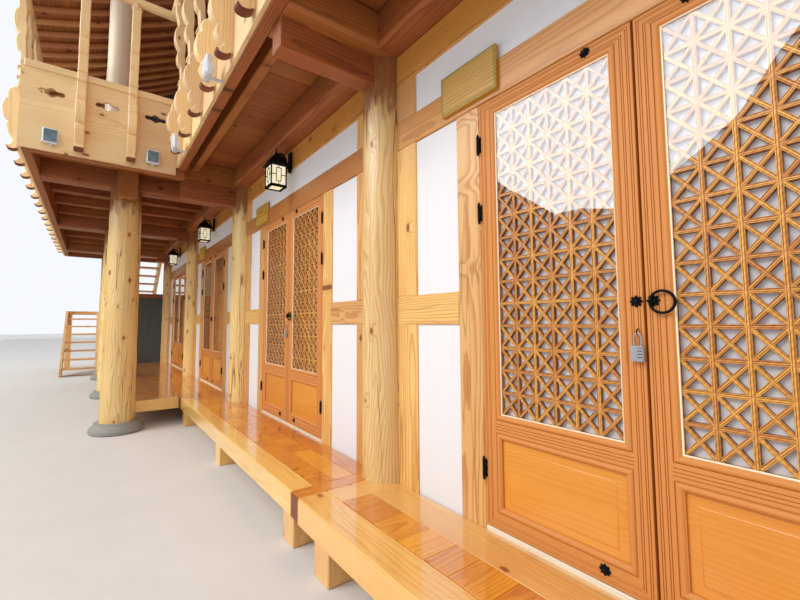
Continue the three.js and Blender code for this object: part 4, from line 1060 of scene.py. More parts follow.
def lay_decks():
    low, top, back = PLINTH_TOP + GAP, DECK_TOP, -GAP
    near = Work("deck_bay_1_boards", 151)
    x0, x1, front = 3080.3, END_FACE, -575
    near.board(x0, x1, front, -397, low, top, "x", 6, finish=1)
    near.board(x0, x0 + 178, -396.5, back, low, top, "y", 4, finish=1)
    near.board(x1 - 150, x1, -396.5, back, low, top, "y", 4, finish=1)
    near.board(x0 + 178.5, x1 - 150.5, -208.5, back, low + 60, top, "x", finish=1)
    cross_boards(near, x0 + 178.5, x1 - 150.5, -396.5, -209)
    for x in (3330, 4730, 6095):
        deck_leg(near, x, -560)
    near.build(["deck_wood", "deck_border"], ["deck_bay_1"], "deck_varnish")

    middle = Work("deck_bay_2_boards", 152)
    x0, x1, front = -649.7, 3080, -567
    middle.board(x0 + 120, x1 - 112, front, -424, low, top, "x", 6, finish=1)
    for a, b in ((x0, x0 + 119), (x1 - 111, x1)):
        middle.board(a, b, front + 3, back, low, top, "y")
        middle.board(a + 4, b - 4, front, front + 3.5, low + 4, top - 5, "z", 1, finish=2)
    middle.board(x0 + 120, x1 - 112, -143, back, low + 60, top)
    for y0, y1 in ((-423, -284), (-283, -144)):
        cross_boards(middle, x0 + 120, x1 - 112, y0, y1)
    for x in (2900, 1280, -400):
        deck_leg(middle, x, -552)
    middle.build(["deck_wood", "deck_border", "end_grain"], ["deck_bay_2"], "deck_varnish")

    far = Work("deck_pavilion_boards", 153)
    x0, x1, front = -END_FACE, -650, PAVILION_Y
    far.board(x0, x1, front, front + 150, low, top, "x", 6, finish=1)
    far.board(x1 - 140, x1, front + 151, -570, low, top, "y", 4, finish=1)
    far.board(x0, x0 + 90, front + 151, back, low, top, "y", 4, finish=1)
    rows = (-1089, -860, -710, -480, -330, -100)
    for k, (y0, y1) in enumerate(zip(rows, rows[1:])):
        if k % 2:
            far.board(x0 + 91, x1 - 141, y0 + 1, y1 - 1, low + 60, top, "x", 2)
        else:
            cross_boards(far, x0 + 91, x1 - 141, y0, y1)
    far.board(x0 + 91, x1, -99, back, low + 60, top)
    far.board(x1 - 140, x1, -569, -100, low + 60, top, "x", 2)
    for x in (-1900, -3900, -5600):
        deck_leg(far, x, PAVILION_Y + 30)
    far.build(["deck_wood", "deck_border"], ["deck_pavilion"], "deck_varnish")


def build_end_screen():
    """Grey-green boards that close the far end of the deck"""
    work = Work("deck_end_screen_boards", 155)
    x, front, back = -6195, -1055, -122
    for a, b in strips(7, front, back):
        work.board(x + 3, x + 37, a + 1, b - 1, DECK_TOP + GAP, 1888, "z")
    work.board(x, x + 40, front, back, DECK_TOP + GAP, DECK_TOP + 90, "y")
    work.board(x - 10, x + 50, front, back, 1885, 1985, "y", 5, finish=1)
    work.build(["slate", "soffit_pine"], ["deck_end_screen"], "slate")


def lay_plinth():
    """Courses of dressed stone under the walls"""
    work = Work("plinth_stones", 157)
    x0, x1, y0, y1 = -END_FACE - 60, END_FACE + 60, -170, DEPTH + 60
    work.board(x0 + 12, x1 - 12, y0 + 12, y1 - 12, 0, PLINTH_TOP - 2, "x", 2)
    for z0, z1 in ((0, 88), (89.5, PLINTH_TOP)):
        for y in (y0, y1 - 140):
            x = x0
            while x < x1 - 1:
                end = min(x1, x + work.draw.uniform(420, 780))
                end = x1 if x1 - end < 250 else end
                work.board(x + 1, end - 1, y, y + 140, z0, z1, "x", 7)
                x = end
        for x in (x0, x1 - 140):
            for a, b in strips(6, y0 + 141, y1 - 141):
                work.board(x, x + 140, a + 1, b - 1, z0, z1, "y", 7)
    work.build(["stone"], ["stone_plinth"], "stone")


# Balcony

def inset_outline(outline, distance):
    """Moves every side of an outline inwards by a distance"""
    turn = 1 if signed_area(outline) > 0 else -1
    moved = []
    for i, here in enumerate(outline):
        before, point, after = Vector(outline[i - 1]), Vector(here), Vector(outline[(i + 1) % len(outline)])
        normals = [Vector((-edge.y, edge.x)).normalized() * turn for edge in (point - before, after - point)]
        middle = (normals[0] + normals[1]).normalized()
        moved.append(tuple(point + middle * (distance / max(0.5, middle.dot(normals[0])))))
    return moved


def eased_prism_shape(outline, axis, a, b, ease):
    """A prism whose two faces are eased back at their edges"""
    inner = inset_outline(outline, ease)
    side = ease if b > a else -ease
    loops = [[ALONG[axis](t, *p) for p in loop]
             for t, loop in ((a, inner), (a + side, outline), (b - side, outline), (b, inner))]
    backwards = ((signed_area(outline) > 0) != (axis == "y")) != (b > a)
    return ring_shape([loop[::-1] for loop in loops] if backwards else loops)


def lay_girder(work, x0, x1, y0, y1, z0, z1, along, ease=16):
    """A heavy beam with well-rounded arrises"""
    u0, u1, start, end = (y0, y1, x0, x1) if along == "x" else (x0, x1, y0, y1)
    outline = []
    for i, (u, v, su, sv) in enumerate(((u0, z0, 1, 1), (u1, z0, -1, 1), (u1, z1, -1, -1), (u0, z1, 1, -1))):
        arc = [(u + su * ease * (1 - math.sin(t)), v + sv * ease * (1 - math.cos(t)))
               for t in spaced(3, 0, math.pi / 2)]
        outline += arc if i % 2 else arc[::-1]
    work.add(eased_prism_shape(outline, along, start, end, 3), along)


def lay_soffit(work, x0, x1, y0, y1, along, low=GIRDER_TOP + GAP, high=UPPER_FLOOR):
    """Floor boards that also show as the ceiling below"""
    position, end = (x0, x1) if along == "y" else (y0, y1)
    while position < end - 1:
        wide = work.draw.uniform(140, 215)
        stop = end if end - position - wide < 90 else position + wide
        if along == "y":
            work.board(position + 1, stop - 1, y0, y1, low, high, "y")
        else:
            work.board(x0, x1, position + 1, stop - 1, low, high)
        position = stop


def frame_floors():
    pavilion = Work("pavilion_floor_timbers", 161)
    wing = Work("wing_floor_timbers", 162)
    low, high, wall_front, wall_back = GIRDER_LOW, GIRDER_TOP, -161, 140
    lay_girder(pavilion, -END_FACE, RIM_EAST, wall_front, wall_back, low + 2, high, "x", 24)
    lay_girder(pavilion, -END_FACE, RIM_EAST, DEPTH - 195, DEPTH, low + 2, high, "x")
    lay_girder(wing, RIM_EAST + GAP, EAST_END, wall_front, wall_back, low + 2, high, "x", 24)
    lay_girder(wing, RIM_EAST + GAP, END_FACE, DEPTH - 195, DEPTH, low + 2, high, "x")
    wing.board(RIM_EAST + GAP, EAST_END, RIM_FRONT, RIM_FRONT + RIM, low, high, "x", 5)
    wing.board(EAST_END - RIM, EAST_END, RIM_FRONT + RIM, 0, low, high, "y", 5)
    wing.board(RIM_EAST + GAP, EAST_END - RIM, -633, -558, JOIST_LOW, high, "x", 6)
    pavilion.board(PAVILION_X[0], RIM_EAST, -633, -558, JOIST_LOW, high, "x", 6)
    pavilion.board(RIM_EAST - RIM, RIM_EAST, RIM_SOUTH, RIM_FRONT + RIM, PAV_GIRDER_LOW, high, "y", 5)
    pavilion.board(RIM_WEST + RIM, RIM_EAST - RIM, RIM_SOUTH, RIM_SOUTH + RIM, PAV_GIRDER_LOW, high, "x", 5)
    pavilion.board(RIM_WEST, RIM_WEST + RIM, RIM_SOUTH, wall_back, PAV_GIRDER_LOW, high, "y", 5)
    pavilion.board(RIM_WEST, -END_FACE, 100, wall_back, low, high, "x", 5)
    lay_girder(pavilion, RIM_WEST + 1, PAVILION_X[0] + 300, PAVILION_Y - 100, PAVILION_Y + 100, PAV_BEAM_LOW, high, "x")
    for i in range(BAYS + 1):
        x = column_axis(i)
        work = wing if x > RIM_EAST else pavilion
        front = RIM_FRONT + RIM if x > RIM_EAST else wall_front + 70
        lay_girder(work, x - 165, x + 165, front, DEPTH - 100, low, high, "y", 26)
        arm = ARM_LOW - 55 if i == 2 else ARM_LOW
        work.board(x - 60, x + 60, -742 if i <= 2 else -300, COLUMN_Y + 60, arm, low + 1, "y", 6)
    x = column_axis(2)
    pavilion.board(x - 60, x + 60, RIM_FRONT + RIM, 0, low, high, "y", 6)
    for x in PAVILION_X:
        lay_girder(pavilion, x - 110, x + 110, RIM_SOUTH + RIM, wall_front + 70, PAV_GIRDER_LOW, high, "y", 20)
    x = RIM_WEST + 460
    while x < RIM_EAST - 200:
        pavilion.board(x - 45, x + 45, RIM_SOUTH + RIM, wall_front + 70, JOIST_LOW, high, "y", 8)
        x += 690
    x = -HALF_LENGTH + 765
    while x < HALF_LENGTH:
        (wing if x > RIM_EAST else pavilion).board(x - 50, x + 50, wall_back, DEPTH - 195, JOIST_LOW, high, "y", 6)
        x += 765
    pavilion.build(["soffit_pine"], ["pavilion_floor_frame"], "dark_pine")
    wing.build(["girder_pine"], ["wing_floor_frame"], "dark_pine")
    floor = Work("upper_floor_boards", 163)
    lay_soffit(floor, RIM_EAST, EAST_END, RIM_FRONT, 0, "y")
    lay_soffit(floor, RIM_WEST, RIM_EAST, RIM_SOUTH, 0, "x")
    lay_soffit(floor, -END_FACE, END_FACE, 0, DEPTH, "x")
    floor.board(RIM_WEST, -END_FACE, 0.5, 140, GIRDER_TOP + GAP, UPPER_FLOOR)
    floor.build(["soffit_pine"], ["upper_floor"], "dark_pine")


class Run:
    """A straight length of balustrade: t along it, out away from the balcony"""

    def __init__(self, origin, along, outward, length):
        self.origin, self.along, self.outward, self.length = origin, along, outward, length

    def at(self, t, out, z):
        return (self.origin[0] + self.along[0] * t + self.outward[0] * out,
                self.origin[1] + self.along[1] * t + self.outward[1] * out, z)

    def board(self, work, t0, t1, out0, out1, z0, z1, along=None, chamfer=3.0, finish=0):
        p, q = self.at(t0, out0, z0), self.at(t1, out1, z1)
        work.board(p[0], q[0], p[1], q[1], z0, z1, along or self.letter(), chamfer, finish)

    def letter(self):
        return "x" if abs(self.along[0]) > 0.5 else "y"


def baluster_outline(low):
    """Side of a carved baluster: (out from the skirt, height), with cloud lobes down its outer edge"""
    return curve_points((-5, low + 64), [
        [(34, low + 20), (74, low + 28)], [(104, low + 34), (104, low + 62)], [(72, low + 68), (60, low + 110)],
        [(104, 3092), (112, 3140)], [(116, 3176), (90, 3196)], [(146, 3214), (150, 3304)], [(151, 3392), (108, 3418)],
        [(128, 3452), (104, 3496)], [(84, 3530), (56, 3534)], [(40, 3610), (46, 3727)], [(38, 3830), (50, 3910)],
        [(86, 3930), (84, 4010)], [(82, 4062), (58, 4082)], [(104, 4120), (110, 4216)], [(112, 4300), (78, 4330)],
        [(72, 4400), (105, 4480)], [(105, 4560)], [(35, 4560)], [(25, 4440)], [(2, 4330), (14, 4230)],
        [(-6, 4140), (8, 4040)], [(-8, 3900), (-5, 3740)]], 5)


def pierced_skirt(work, run, t0, t1, z0, z1, hole, finish=0):
    """A length of skirt board with a wavy opening cut through it"""
    count = 40
    outer, inner = [], []
    centre_t, centre_z = (t0 + t1) / 2, hole
    for angle in around(count):
        c, s = math.cos(angle), math.sin(angle)
        reach = min(((t1 if c > 0 else t0) - centre_t) / c if abs(c) > 1e-6 else 1e9,
                    ((z1 if s > 0 else z0) - centre_z) / s if abs(s) > 1e-6 else 1e9)
        outer.append((centre_t + c * reach, centre_z + s * reach))
        lobe = 1 + 0.28 * math.cos(6 * angle + math.pi)
        inner.append((centre_t + 104 * c * (0.94 + 0.06 * math.cos(2 * angle)), centre_z + 36 * s * lobe))
    for corner in ((t1, z1), (t0, z1), (t0, z0), (t1, z0)):
        nearest = min(range(count), key=lambda k: math.dist(outer[k], corner))
        outer[nearest] = corner
    loops = []
    for out, loop in ((0, inner), (0, outer), (-SKIRT, outer), (-SKIRT, inner), (0, inner)):
        loops.append([run.at(t, out, z) for t, z in loop][::-1])
    work.add(ring_shape(loops, False), run.letter(), finish)


def lotus_block(work, run, t):
    """Petalled block between a baluster and the handrail"""
    rings = []
    for z, radius, lobed in ((4538, 26, 0), (4544, 44, 0.5), (4562, 55, 1), (4580, 50, 1), (4586, 38, 0.4), (4592, 46, 1),
                             (4606, 52, 1), (4618, 40, 0.6)):
        ring = []
        for angle in around(PETAL_SIDES):
            r = radius * (1 - 0.13 * lobed * (1 - abs(math.cos(4 * angle))))
            ring.append(run.at(t + r * math.cos(angle), HANDRAIL_OUT + r * math.sin(angle), z))
        rings.append(ring[::-1])
    work.add(ring_shape(rings), "z")


def build_balustrade(name, run, places, low, seed, lead=0):
    work = Work(f"balustrade_{name}_carving", seed)
    edges = [-lead, *places, run.length]
    for a, b in zip(edges, edges[1:]):
        if b - a > 380:
            pierced_skirt(work, run, a, b, low, SKIRT_TOP - 70, 3462)
        else:
            run.board(work, a, b, -SKIRT, 0, low, SKIRT_TOP - 70, chamfer=0.3)
    run.board(work, -max(0, lead - 18), run.length, -SKIRT, 18, SKIRT_TOP - 70, SKIRT_TOP, chamfer=6)
    outline = baluster_outline(low)
    for t in places:
        inner = inset_outline(outline, 7)
        loops = [[run.at(t + side, out, z) for out, z in shape][::-1]
                 for side, shape in ((-40, inner), (-33, outline), (33, outline), (40, inner))]
        points, faces = ring_shape(loops)
        work.add((points, faces), "z")
        for k, face in enumerate(faces):
            if len(face) == 4 and max(points[i][2] for i in face) < low + 64:
                work.finish[k - len(faces)] = 1
        for z in (3640, 3742):
            run.board(work, t - 43, t + 43, 30, 60, z - 11, z + 11, "z", 5)
        lotus_block(work, run, t)
    work.rod([run.at(t, HANDRAIL_OUT, HANDRAIL_Z) for t in spaced(12, 0, run.length)], 46, 18, along=run.letter())
    work.build(["balcony_pine", "end_grain"], [f"balustrade_{name}"], "pine")


def evenly(length, count):
    return [(i + 0.5) * length / count for i in range(count)]


def build_balustrades():
    lead = HANDRAIL_OUT + 58
    start = RIM_EAST + SKIRT + 2 + lead
    front = Run((start, RIM_FRONT - SKIRT - GAP), (1, 0), (0, -1), EAST_END - start)
    build_balustrade("front", front, evenly(front.length, 13), SKIRT_LOW, 171, lead)
    inward = Run((RIM_EAST + SKIRT + GAP, RIM_SOUTH), (0, 1), (1, 0), RIM_FRONT - RIM_SOUTH - SKIRT - 1)
    build_balustrade("return", inward, [inward.length / 3, inward.length * 2 / 3], PAV_SKIRT_LOW, 172, SKIRT)
    south = Run((RIM_WEST, RIM_SOUTH - SKIRT - GAP), (1, 0), (0, -1), RIM_EAST - RIM_WEST)
    build_balustrade("pavilion", south, evenly(south.length, 16), PAV_SKIRT_LOW, 173)
    west = -RIM_SOUTH - 900
    far = Run((RIM_WEST - SKIRT - GAP, RIM_SOUTH + west), (0, -1), (-1, 0), west)
    build_balustrade("west", far, evenly(west, 3), PAV_SKIRT_LOW, 174)
    near = Run((EAST_END + SKIRT + GAP, RIM_FRONT + 1), (0, 1), (1, 0), -RIM_FRONT - 1)
    build_balustrade("east", near, evenly(near.length, 2), SKIRT_LOW, 175)


def floodlight(work, run, t, z, reach=0, lens=1):
    """Floodlight box on a short arm from the skirt"""
    run.board(work, t - 12, t + 12, 0, reach + 34, z - 80, z - 62, "z", 2)
    run.board(work, t - 60, t + 60, reach + 30, reach + 72, z - 70, z + 70, "z", 8)
    run.board(work, t - 51, t + 51, reach + 68, reach + 76, z - 58, z + 58, "z", 3, finish=lens)
    for side in (-64, 60):
        run.board(work, t + side, t + side + 4, reach + 20, reach + 60, z - 76, z + 8, "z", 1)


def hang_floodlights():
    work = Work("floodlights", 181)
    back = Run((RIM_EAST + SKIRT + GAP, RIM_SOUTH), (0, 1), (1, 0), 1286)
    for t in (213, 1058):
        floodlight(work, back, t, 3018)
    front = Run((0, RIM_FRONT - SKIRT - GAP), (1, 0), (0, -1), 6000)
    for t, z in ((930, 3010), (2300, 3034)):
        floodlight(work, front, t, z, 50, 0)
    work.build(["lamp_case", "lamp_lens"], (), "iron")


# Upper storey

def wall_grid(work, low, high, sill, head):
    """Timbers and plaster of the rear wall and the two end walls of one storey"""
    front, back = DEPTH - WALL, DEPTH
    bands = ((low, low + 250), (sill - 160, sill), (head, head + 170), (high - 150, high))
    panels = ((low + 250, sill - 160), (head + 170, high - 150))
    for b in range(BAYS):
        left, right = column_x(b + 1) + 110, column_x(b) - 110
        c = bay_centre(b)
        for z0, z1 in bands:
            work.board(left, right, front, back, z0, z1, "x", 5)
        for z0, z1 in panels:
            work.board(left - 4, right + 4, front + 12, back - 12, z0 - 4, z1 + 4, "x", 1, finish=1)
        for side in (-1, 1):
            jamb, inner = c + side * 550, c + side * 660
            work.board(jamb, inner, front, back, sill, head, "z", 5)
            edge = left if side < 0 else right
            work.board(inner - side * 4, edge + side * 4, front + 12, back - 12, sill - 4, head + 4, "z", 1, finish=1)
    for i in range(BAYS + 1):
        work.board(max(column_x(i) - 110, -END_FACE), min(column_x(i) + 110, END_FACE), front, back, low, high, "z", 8)
    for side in (-1, 1):
        outer, inner = side * END_FACE, side * (END_FACE - WALL)
        for y0, y1 in ((WALL + GAP, WALL + 160), (DEPTH / 2 - 80, DEPTH / 2 + 80)):
            work.board(outer, inner, y0, y1, low, high, "z", 6)
        for y0, y1 in ((WALL + 160, DEPTH / 2 - 80), (DEPTH / 2 + 80, front)):
            for z0, z1 in bands:
                work.board(outer, inner, y0, y1, z0, z1, "y", 5)
            for z0, z1 in panels + ((sill, head),):
                work.board(outer - side * 12, inner + side * 12, y0 - 4, y1 + 4, z0 - 4, z1 + 4, "y", 1, finish=1)


def window_lattice(work, x0, x1, y, z0, z1, nx, nz, frame_wide=42, out=1):
    """A sash with a plain square lattice, facing +y when out is 1"""
    a, b = y, y + out * 34
    work.board(x0, x0 + frame_wide, a, b, z0, z1, "z")
    work.board(x1 - frame_wide, x1, a, b, z0, z1, "z")
    work.board(x0 + frame_wide, x1 - frame_wide, a, b, z0, z0 + frame_wide)
    work.board(x0 + frame_wide, x1 - frame_wide, a, b, z1 - frame_wide, z1)
    for x in spaced(nx, x0 + frame_wide, x1 - frame_wide)[1:-1]:
        work.board(x - 6, x + 6, a + out * 2, a + out * 20, z0 + frame_wide, z1 - frame_wide, "z", 1.5, finish=1)
    for z in spaced(nz, z0 + frame_wide, z1 - frame_wide)[1:-1]:
        work.board(x0 + frame_wide, x1 - frame_wide, a + out * 3, a + out * 19, z - 6, z + 6, "x", 1.5, finish=1)


def build_outer_walls():
    shift = UPPER_FLOOR - FLOOR_TOP
    for name, low, high, rise in (("ground", PLINTH_TOP + GAP, GIRDER_LOW - GAP, 0),
                                  ("upper", UPPER_FLOOR + GAP, UPPER_WALL_TOP, shift)):
        walls = Work(f"{name}_wall_timbers", 191 + rise)
        wall_grid(walls, low, high, RAIL_HIGH + rise, DOOR_HEAD + rise)
        if rise:
            top = min(underside(OVERHANG, WING_EAVE_Y), underside(OVERHANG, BLOCK_EAVE_Y)) - GAP
            walls.board(-5200, 5200, DEPTH - WALL, DEPTH, UPPER_WALL_TOP, top, "x", 4)
        walls.build(["wall_pine", "plaster"], [f"{name}_rear_and_end_walls"], "plaster")
        sashes = Work(f"{name}_rear_sashes", 193 + rise)
        sheets = Work(f"{name}_rear_paper", 195 + rise)
        for bay in range(BAYS):
            c = bay_centre(bay)
            z0, z1 = RAIL_HIGH + rise + 2, DOOR_HEAD + rise - 2
            for a, b in ((c - 548, c - 1), (c + 1, c + 548)):
                window_lattice(sashes, a, b, DEPTH - 120, z0, z1, 5, 8)
            sheets.board(c - 548, c + 548, DEPTH - 122, DEPTH - 120.5, z0, z1, "x", 0.3)
        sashes.build(["door_pine", "lattice_pine"], [f"{name}_rear_windows"], "pine")
        sheets.build(["paper"], [f"{name}_rear_windows"], "paper")


# Outline of a carved arm: how far out from its column, how far down
BRACKET_ARM = curve_points((80, 0), [[(620, 0)], [(640, 60), (560, 70)], [(520, 140), (430, 130)],
                                     [(390, 210), (300, 190)], [(250, 280), (80, 300)]], 5)


def raise_upper_columns(sizes):
    plate_low = UPPER_WALL_TOP - 200
    front = Work("upper_front_timbers", 201)
    lay_girder(front, -END_FACE, END_FACE, -80, WALL, plate_low, UPPER_WALL_TOP, "x")
    hip_end = -HALF_LENGTH - OVERHANG + GABLE_INSET + 110
    front_top = underside(-BLOCK_EAVE_Y, BLOCK_EAVE_Y) - GAP
    lay_girder(front, hip_end, ROOF_JOINT_X - 130, 0, WALL, UPPER_WALL_TOP, front_top, "x")
    for i in range(BAYS + 1):
        add_log(front, column_x(i), COLUMN_Y, UPPER_FLOOR + GAP, plate_low, 105, 105, 40 + i,
                wobble=sizes.log_wobble * 800)
    front.build(["upper_pine"], ["upper_front_columns"], "pine")
    purlin_top = underside(PAVILION_UPPER_Y - 100 - BLOCK_EAVE_Y, BLOCK_EAVE_Y) - GAP
    outer = Work("pavilion_upper_timbers", 202)
    lay_girder(outer, -HALF_LENGTH - 220, PAVILION_X[0] + 300, PAVILION_UPPER_Y - 100, PAVILION_UPPER_Y + 100,
               purlin_top - 200, purlin_top, "x", 26)
    for i, x in enumerate(PAVILION_X):
        add_log(outer, x, PAVILION_UPPER_Y, UPPER_FLOOR + GAP, purlin_top - 200, 118, 118, 50 + i,
                wobble=sizes.log_wobble * 800)
        for side in (-1, 1):
            if -HALF_LENGTH - 220 <= x + side * 640 <= PAVILION_X[0] + 300:
                arm = [(x + side * u, purlin_top - 200 - v) for u, v in BRACKET_ARM]
                outer.add(eased_prism_shape(arm, "y", PAVILION_UPPER_Y - 42, PAVILION_UPPER_Y + 42, 5), "x")
    outer.build(["upper_pine"], ["pavilion_upper_columns"], "pine")


def build_upper_front():
    top = UPPER_WALL_TOP - 200 - GAP
    wall = Work("upper_front_wall_timbers", 211)
    screens = Work("upper_front_lattices", 212)
    sheet = Work("upper_front_paper", 213)
    for bay in range(BAYS):
        right, left, c = column_x(bay) - 90, column_x(bay + 1) + 90, bay_centre(bay)
        wall.board(left, right, 0, WALL, UPPER_FLOOR + GAP, UPPER_DOOR_LOW)
        wall.board(left, right, 0, WALL, UPPER_DOOR_HEAD, UPPER_DOOR_HEAD + 160, "x", 5)
        wall.board(left, right, 0, WALL, top - 150, top, "x", 5)
        wall.board(left, right, 12, WALL - 12, UPPER_DOOR_HEAD + 150, top - 140, "x", 1, finish=1)
        for a, b in ((c - 1150, c - 1050), (c + 1050, c + 1150)):
            wall.board(a, b, 0, WALL, UPPER_DOOR_LOW, UPPER_DOOR_HEAD, "z", 5)
        for a, b in ((left, c - 1146), (c + 1146, right)):
            wall.board(a, b, 12, WALL - 12, UPPER_DOOR_LOW - 4, UPPER_DOOR_HEAD + 4, "z", 1, finish=1)
            wall.board(a, b, 0, WALL, UPPER_DOOR_LOW + 900, UPPER_DOOR_LOW + 1020, "x", 4)
        for k in range(4):
            a = c - 1048 + k * 524
            z0, z1 = UPPER_DOOR_LOW + 2, UPPER_DOOR_HEAD - 2
            window_lattice(screens, a, a + 522, 150, z0 + 420, z1, 5, 12, out=-1)
            screens.board(a, a + 522, 116, 148, z0, z0 + 418, "x", 4)
        sheet.board(c - 1048, c + 1048, 151, 152.5, UPPER_DOOR_LOW + 2, UPPER_DOOR_HEAD - 2, "x", 0.3)
    for x in (-END_FACE, END_FACE - 95):
        wall.board(x, x + 95, 0, WALL, UPPER_FLOOR + GAP, top, "z")
    wall.build(["wall_pine", "plaster"], ["upper_front_wall"], "plaster")
    screens.build(["door_pine", "lattice_pine"], ["upper_front_screens"], "pine")
    sheet.build(["paper"], ["upper_front_screens"], "paper")


# Roofs

TILE_PITCH = 280
COURSE = 290
TILE_SECTION = ((-140, -44), (-112, -40), (-88, -30), (-71, -16), (-66, 8), (-50, 27), (-26, 38), (0, 42), (26, 38),
                (50, 27), (66, 8), (71, -16), (88, -30), (112, -40), (140, -44))


def slope_height(d, run):
    return SLOPE_EAVE * d + (SLOPE_RIDGE - SLOPE_EAVE) * d * d / (2 * run)


def roof_run(eave_y):
    return (DEPTH + OVERHANG - eave_y) / 2


def eave_height(eave_y):
    to_wall = HALF_LENGTH + OVERHANG - END_FACE
    return UPPER_WALL_TOP + GAP + ROOF_THICK - slope_height(to_wall, roof_run(eave_y))


def underside(d, eave_y):
    return eave_height(eave_y) - ROOF_THICK + slope_height(d, roof_run(eave_y))


class Roof:
    """A half-hipped roof: its eaves, its hipped end and the heights of its slopes"""

    def __init__(self, x0, x1, y0, hip_side):
        self.x0, self.x1, self.y0, self.y1 = x0, x1, y0, DEPTH + OVERHANG
        self.hip_side = hip_side
        self.run, self.eave = roof_run(y0), eave_height(y0)
        self.ridge_y = (self.y0 + self.y1) / 2
        self.far = x1 if hip_side < 0 else x0

    def inward(self, d):
        """Place on x that lies d in from the hipped end"""
        return self.x0 + d if self.hip_side < 0 else self.x1 - d

    def up(self, side, d):
        """Place on y that lies d up from the front eave (-1) or the back one (1)"""
        return self.y0 + d if side < 0 else self.y1 - d

    def from_end(self, x):
        return x - self.x0 if self.hip_side < 0 else self.x1 - x

    def lift(self, x, y):
        corner = math.hypot(min(y - self.y0, self.y1 - y), self.from_end(x))
        return CORNER_LIFT * max(0.0, 1 - corner / LIFT_REACH) ** 2

    def top(self, x, y, slope):
        """Height of the bed: on the front or back slope, on the hipped end, or whichever is lower"""
        side = slope_height(min(y - self.y0, self.y1 - y), self.run)
        end = slope_height(min(self.from_end(x), self.run), self.run)
        rise = {"side": side, "end": end, "both": min(side, end)}[slope]
        return self.eave + rise + self.lift(x, y)

    def spot(self, face, centre, s, d):
        """Plan point of a tile row: s across it, d up from its eave"""
        if face == "end":
            return self.inward(d), centre + s * self.hip_side
        side = -1 if face == "front" else 1
        return centre - s * side, self.up(side, d)

    def climb(self, face, x, y, gabled):
        """How far a slope runs up above a plan point's place on the eave"""
        if face in ("front", "back"):
            return self.run - 30 if gabled else self.from_end(x)
        return min(y - self.y0, self.y1 - y, GABLE_INSET + 30)


def tile_row(work, roof, face, centre, gabled=False):
    """One row of overlapping tiles: a round tile over the joint of two hollow ones"""
    slope = "end" if face == "end" else "side"
    limits = [roof.climb(face, *roof.spot(face, centre, s, 0), gabled) for s, _ in TILE_SECTION]
    least = min(limits)
    if least < 60:
        return

    def ring(depths, raised):
        plan = [roof.spot(face, centre, s, d) for (s, _), d in zip(TILE_SECTION, depths)]
        return [(x, y, roof.top(x, y, slope) + h + raised) for (x, y), (_, h) in zip(plan, TILE_SECTION)]
    count = len(TILE_SECTION)
    stations = [(150, -22), (6, -22), (6, 12)]
    for d in range(COURSE, math.ceil(least - 40), COURSE):
        stations += [(d, 0), (d, 13)]
    rings = [ring([min(d, least - 10)] * count, raised) for d, raised in stations]
    rings.append(ring([max(limit, least - 4) for limit in limits], 0))
    points = [p for loop in rings for p in loop]
    faces = [[r * count + i, r * count + i + 1, (r + 1) * count + i + 1, (r + 1) * count + i]
             for r in range(len(rings) - 1) for i in range(count - 1)]
    work.add((points, faces), "y")


def eave_ends(work, roof, face, centre):
    """Round end tile of a row, and the pendant tile beside it"""
    slope, axis, other = ("end", "x", "y") if face == "end" else ("side", "y", "x")
    outward = {"front": 1, "back": -1}.get(face, -roof.hip_side)
    profile = [(0, 60), (3, 66), (9, 66), (11, 56), (12, 56), (14, 28), (17, 22), (26, 20)]
    x, y = roof.spot(face, centre, 0, 4)
    profile = [(outward * a, radius) for a, radius in profile[::outward]]
    work.add(turned_shape((x, y, roof.top(x, y, slope) - 16), profile, 14, axis), axis, 0)
    x, y = roof.spot(face, centre, 140, 4)
    across, at = (y, x) if face == "end" else (x, y)
    drops = [(-70, 20), (-52, 74), (-26, 98), (0, 108), (26, 98), (52, 74), (70, 20), (36, 42), (0, 50), (-36, 42)]
    outline = [(across + s, roof.top(x, y, slope) - v) for s, v in drops]
    work.add(eased_prism_shape(outline, axis, at, at + outward * 12, 3), other, 0)


def lay_ridge(work, path, wide, high, foot):
    """A built-up ridge along a path: a bed that reaches down between the tiles, flat courses and a round cap"""
    half = wide / 2
    side = [(half * 0.94, -foot)]
    courses = max(2, int(high / 46))
    for k in range(courses):
        z = (high - 40) * k / courses
        step = (high - 40) / courses
        lip = half * (1.0 - 0.22 * k / courses)
        side += [(lip, z + 2), (lip, z + step * 0.62), (lip * 0.86, z + step * 0.7), (lip * 0.86, z + step * 0.96)]
    side += [(half * 0.62 * math.cos(t), high - 42 + 40 * math.sin(t)) for t in (math.pi / 8 * k for k in range(4))]
    section = side + [(0, high)] + [(-u, z) for u, z in side[::-1]]
    rings = []
    for i, p in enumerate(path):
        along = Vector(path[min(len(path) - 1, i + 1)]) - Vector(path[max(0, i - 1)])
        across = Vector((along.y, -along.x, 0)).normalized()
        rings.append([(p[0] + across.x * u, p[1] + across.y * u, p[2] + z) for u, z in section])
    work.add(ring_shape(rings))


def end_tile(work, x, y, z, face_x, face_y, size):
    """Shield tile that closes the end of a ridge"""
    outline = [(-0.5, 0), (0.5, 0), (0.56, 0.4), (0.48, 0.78), (0.24, 0.97), (0, 1.0), (-0.24, 0.97), (-0.48, 0.78),
               (-0.56, 0.4)]
    across = Vector((-face_y, face_x, 0))
    out = Vector((face_x, face_y, 0))
    loops = []
    for depth, scale in ((0, 1.0), (22, 1.0), (30, 0.9), (30, 0.62), (38, 0.56)):
        loop = []
        for u, v in outline:
            centre = 0.5
            p = Vector((x, y, z)) + across * (u * scale * size * 0.8) + out * depth
            loop.append((p.x, p.y, z + (centre + (v - centre) * scale) * size))
        loops.append(loop)
    work.add(ring_shape(loops), "z")


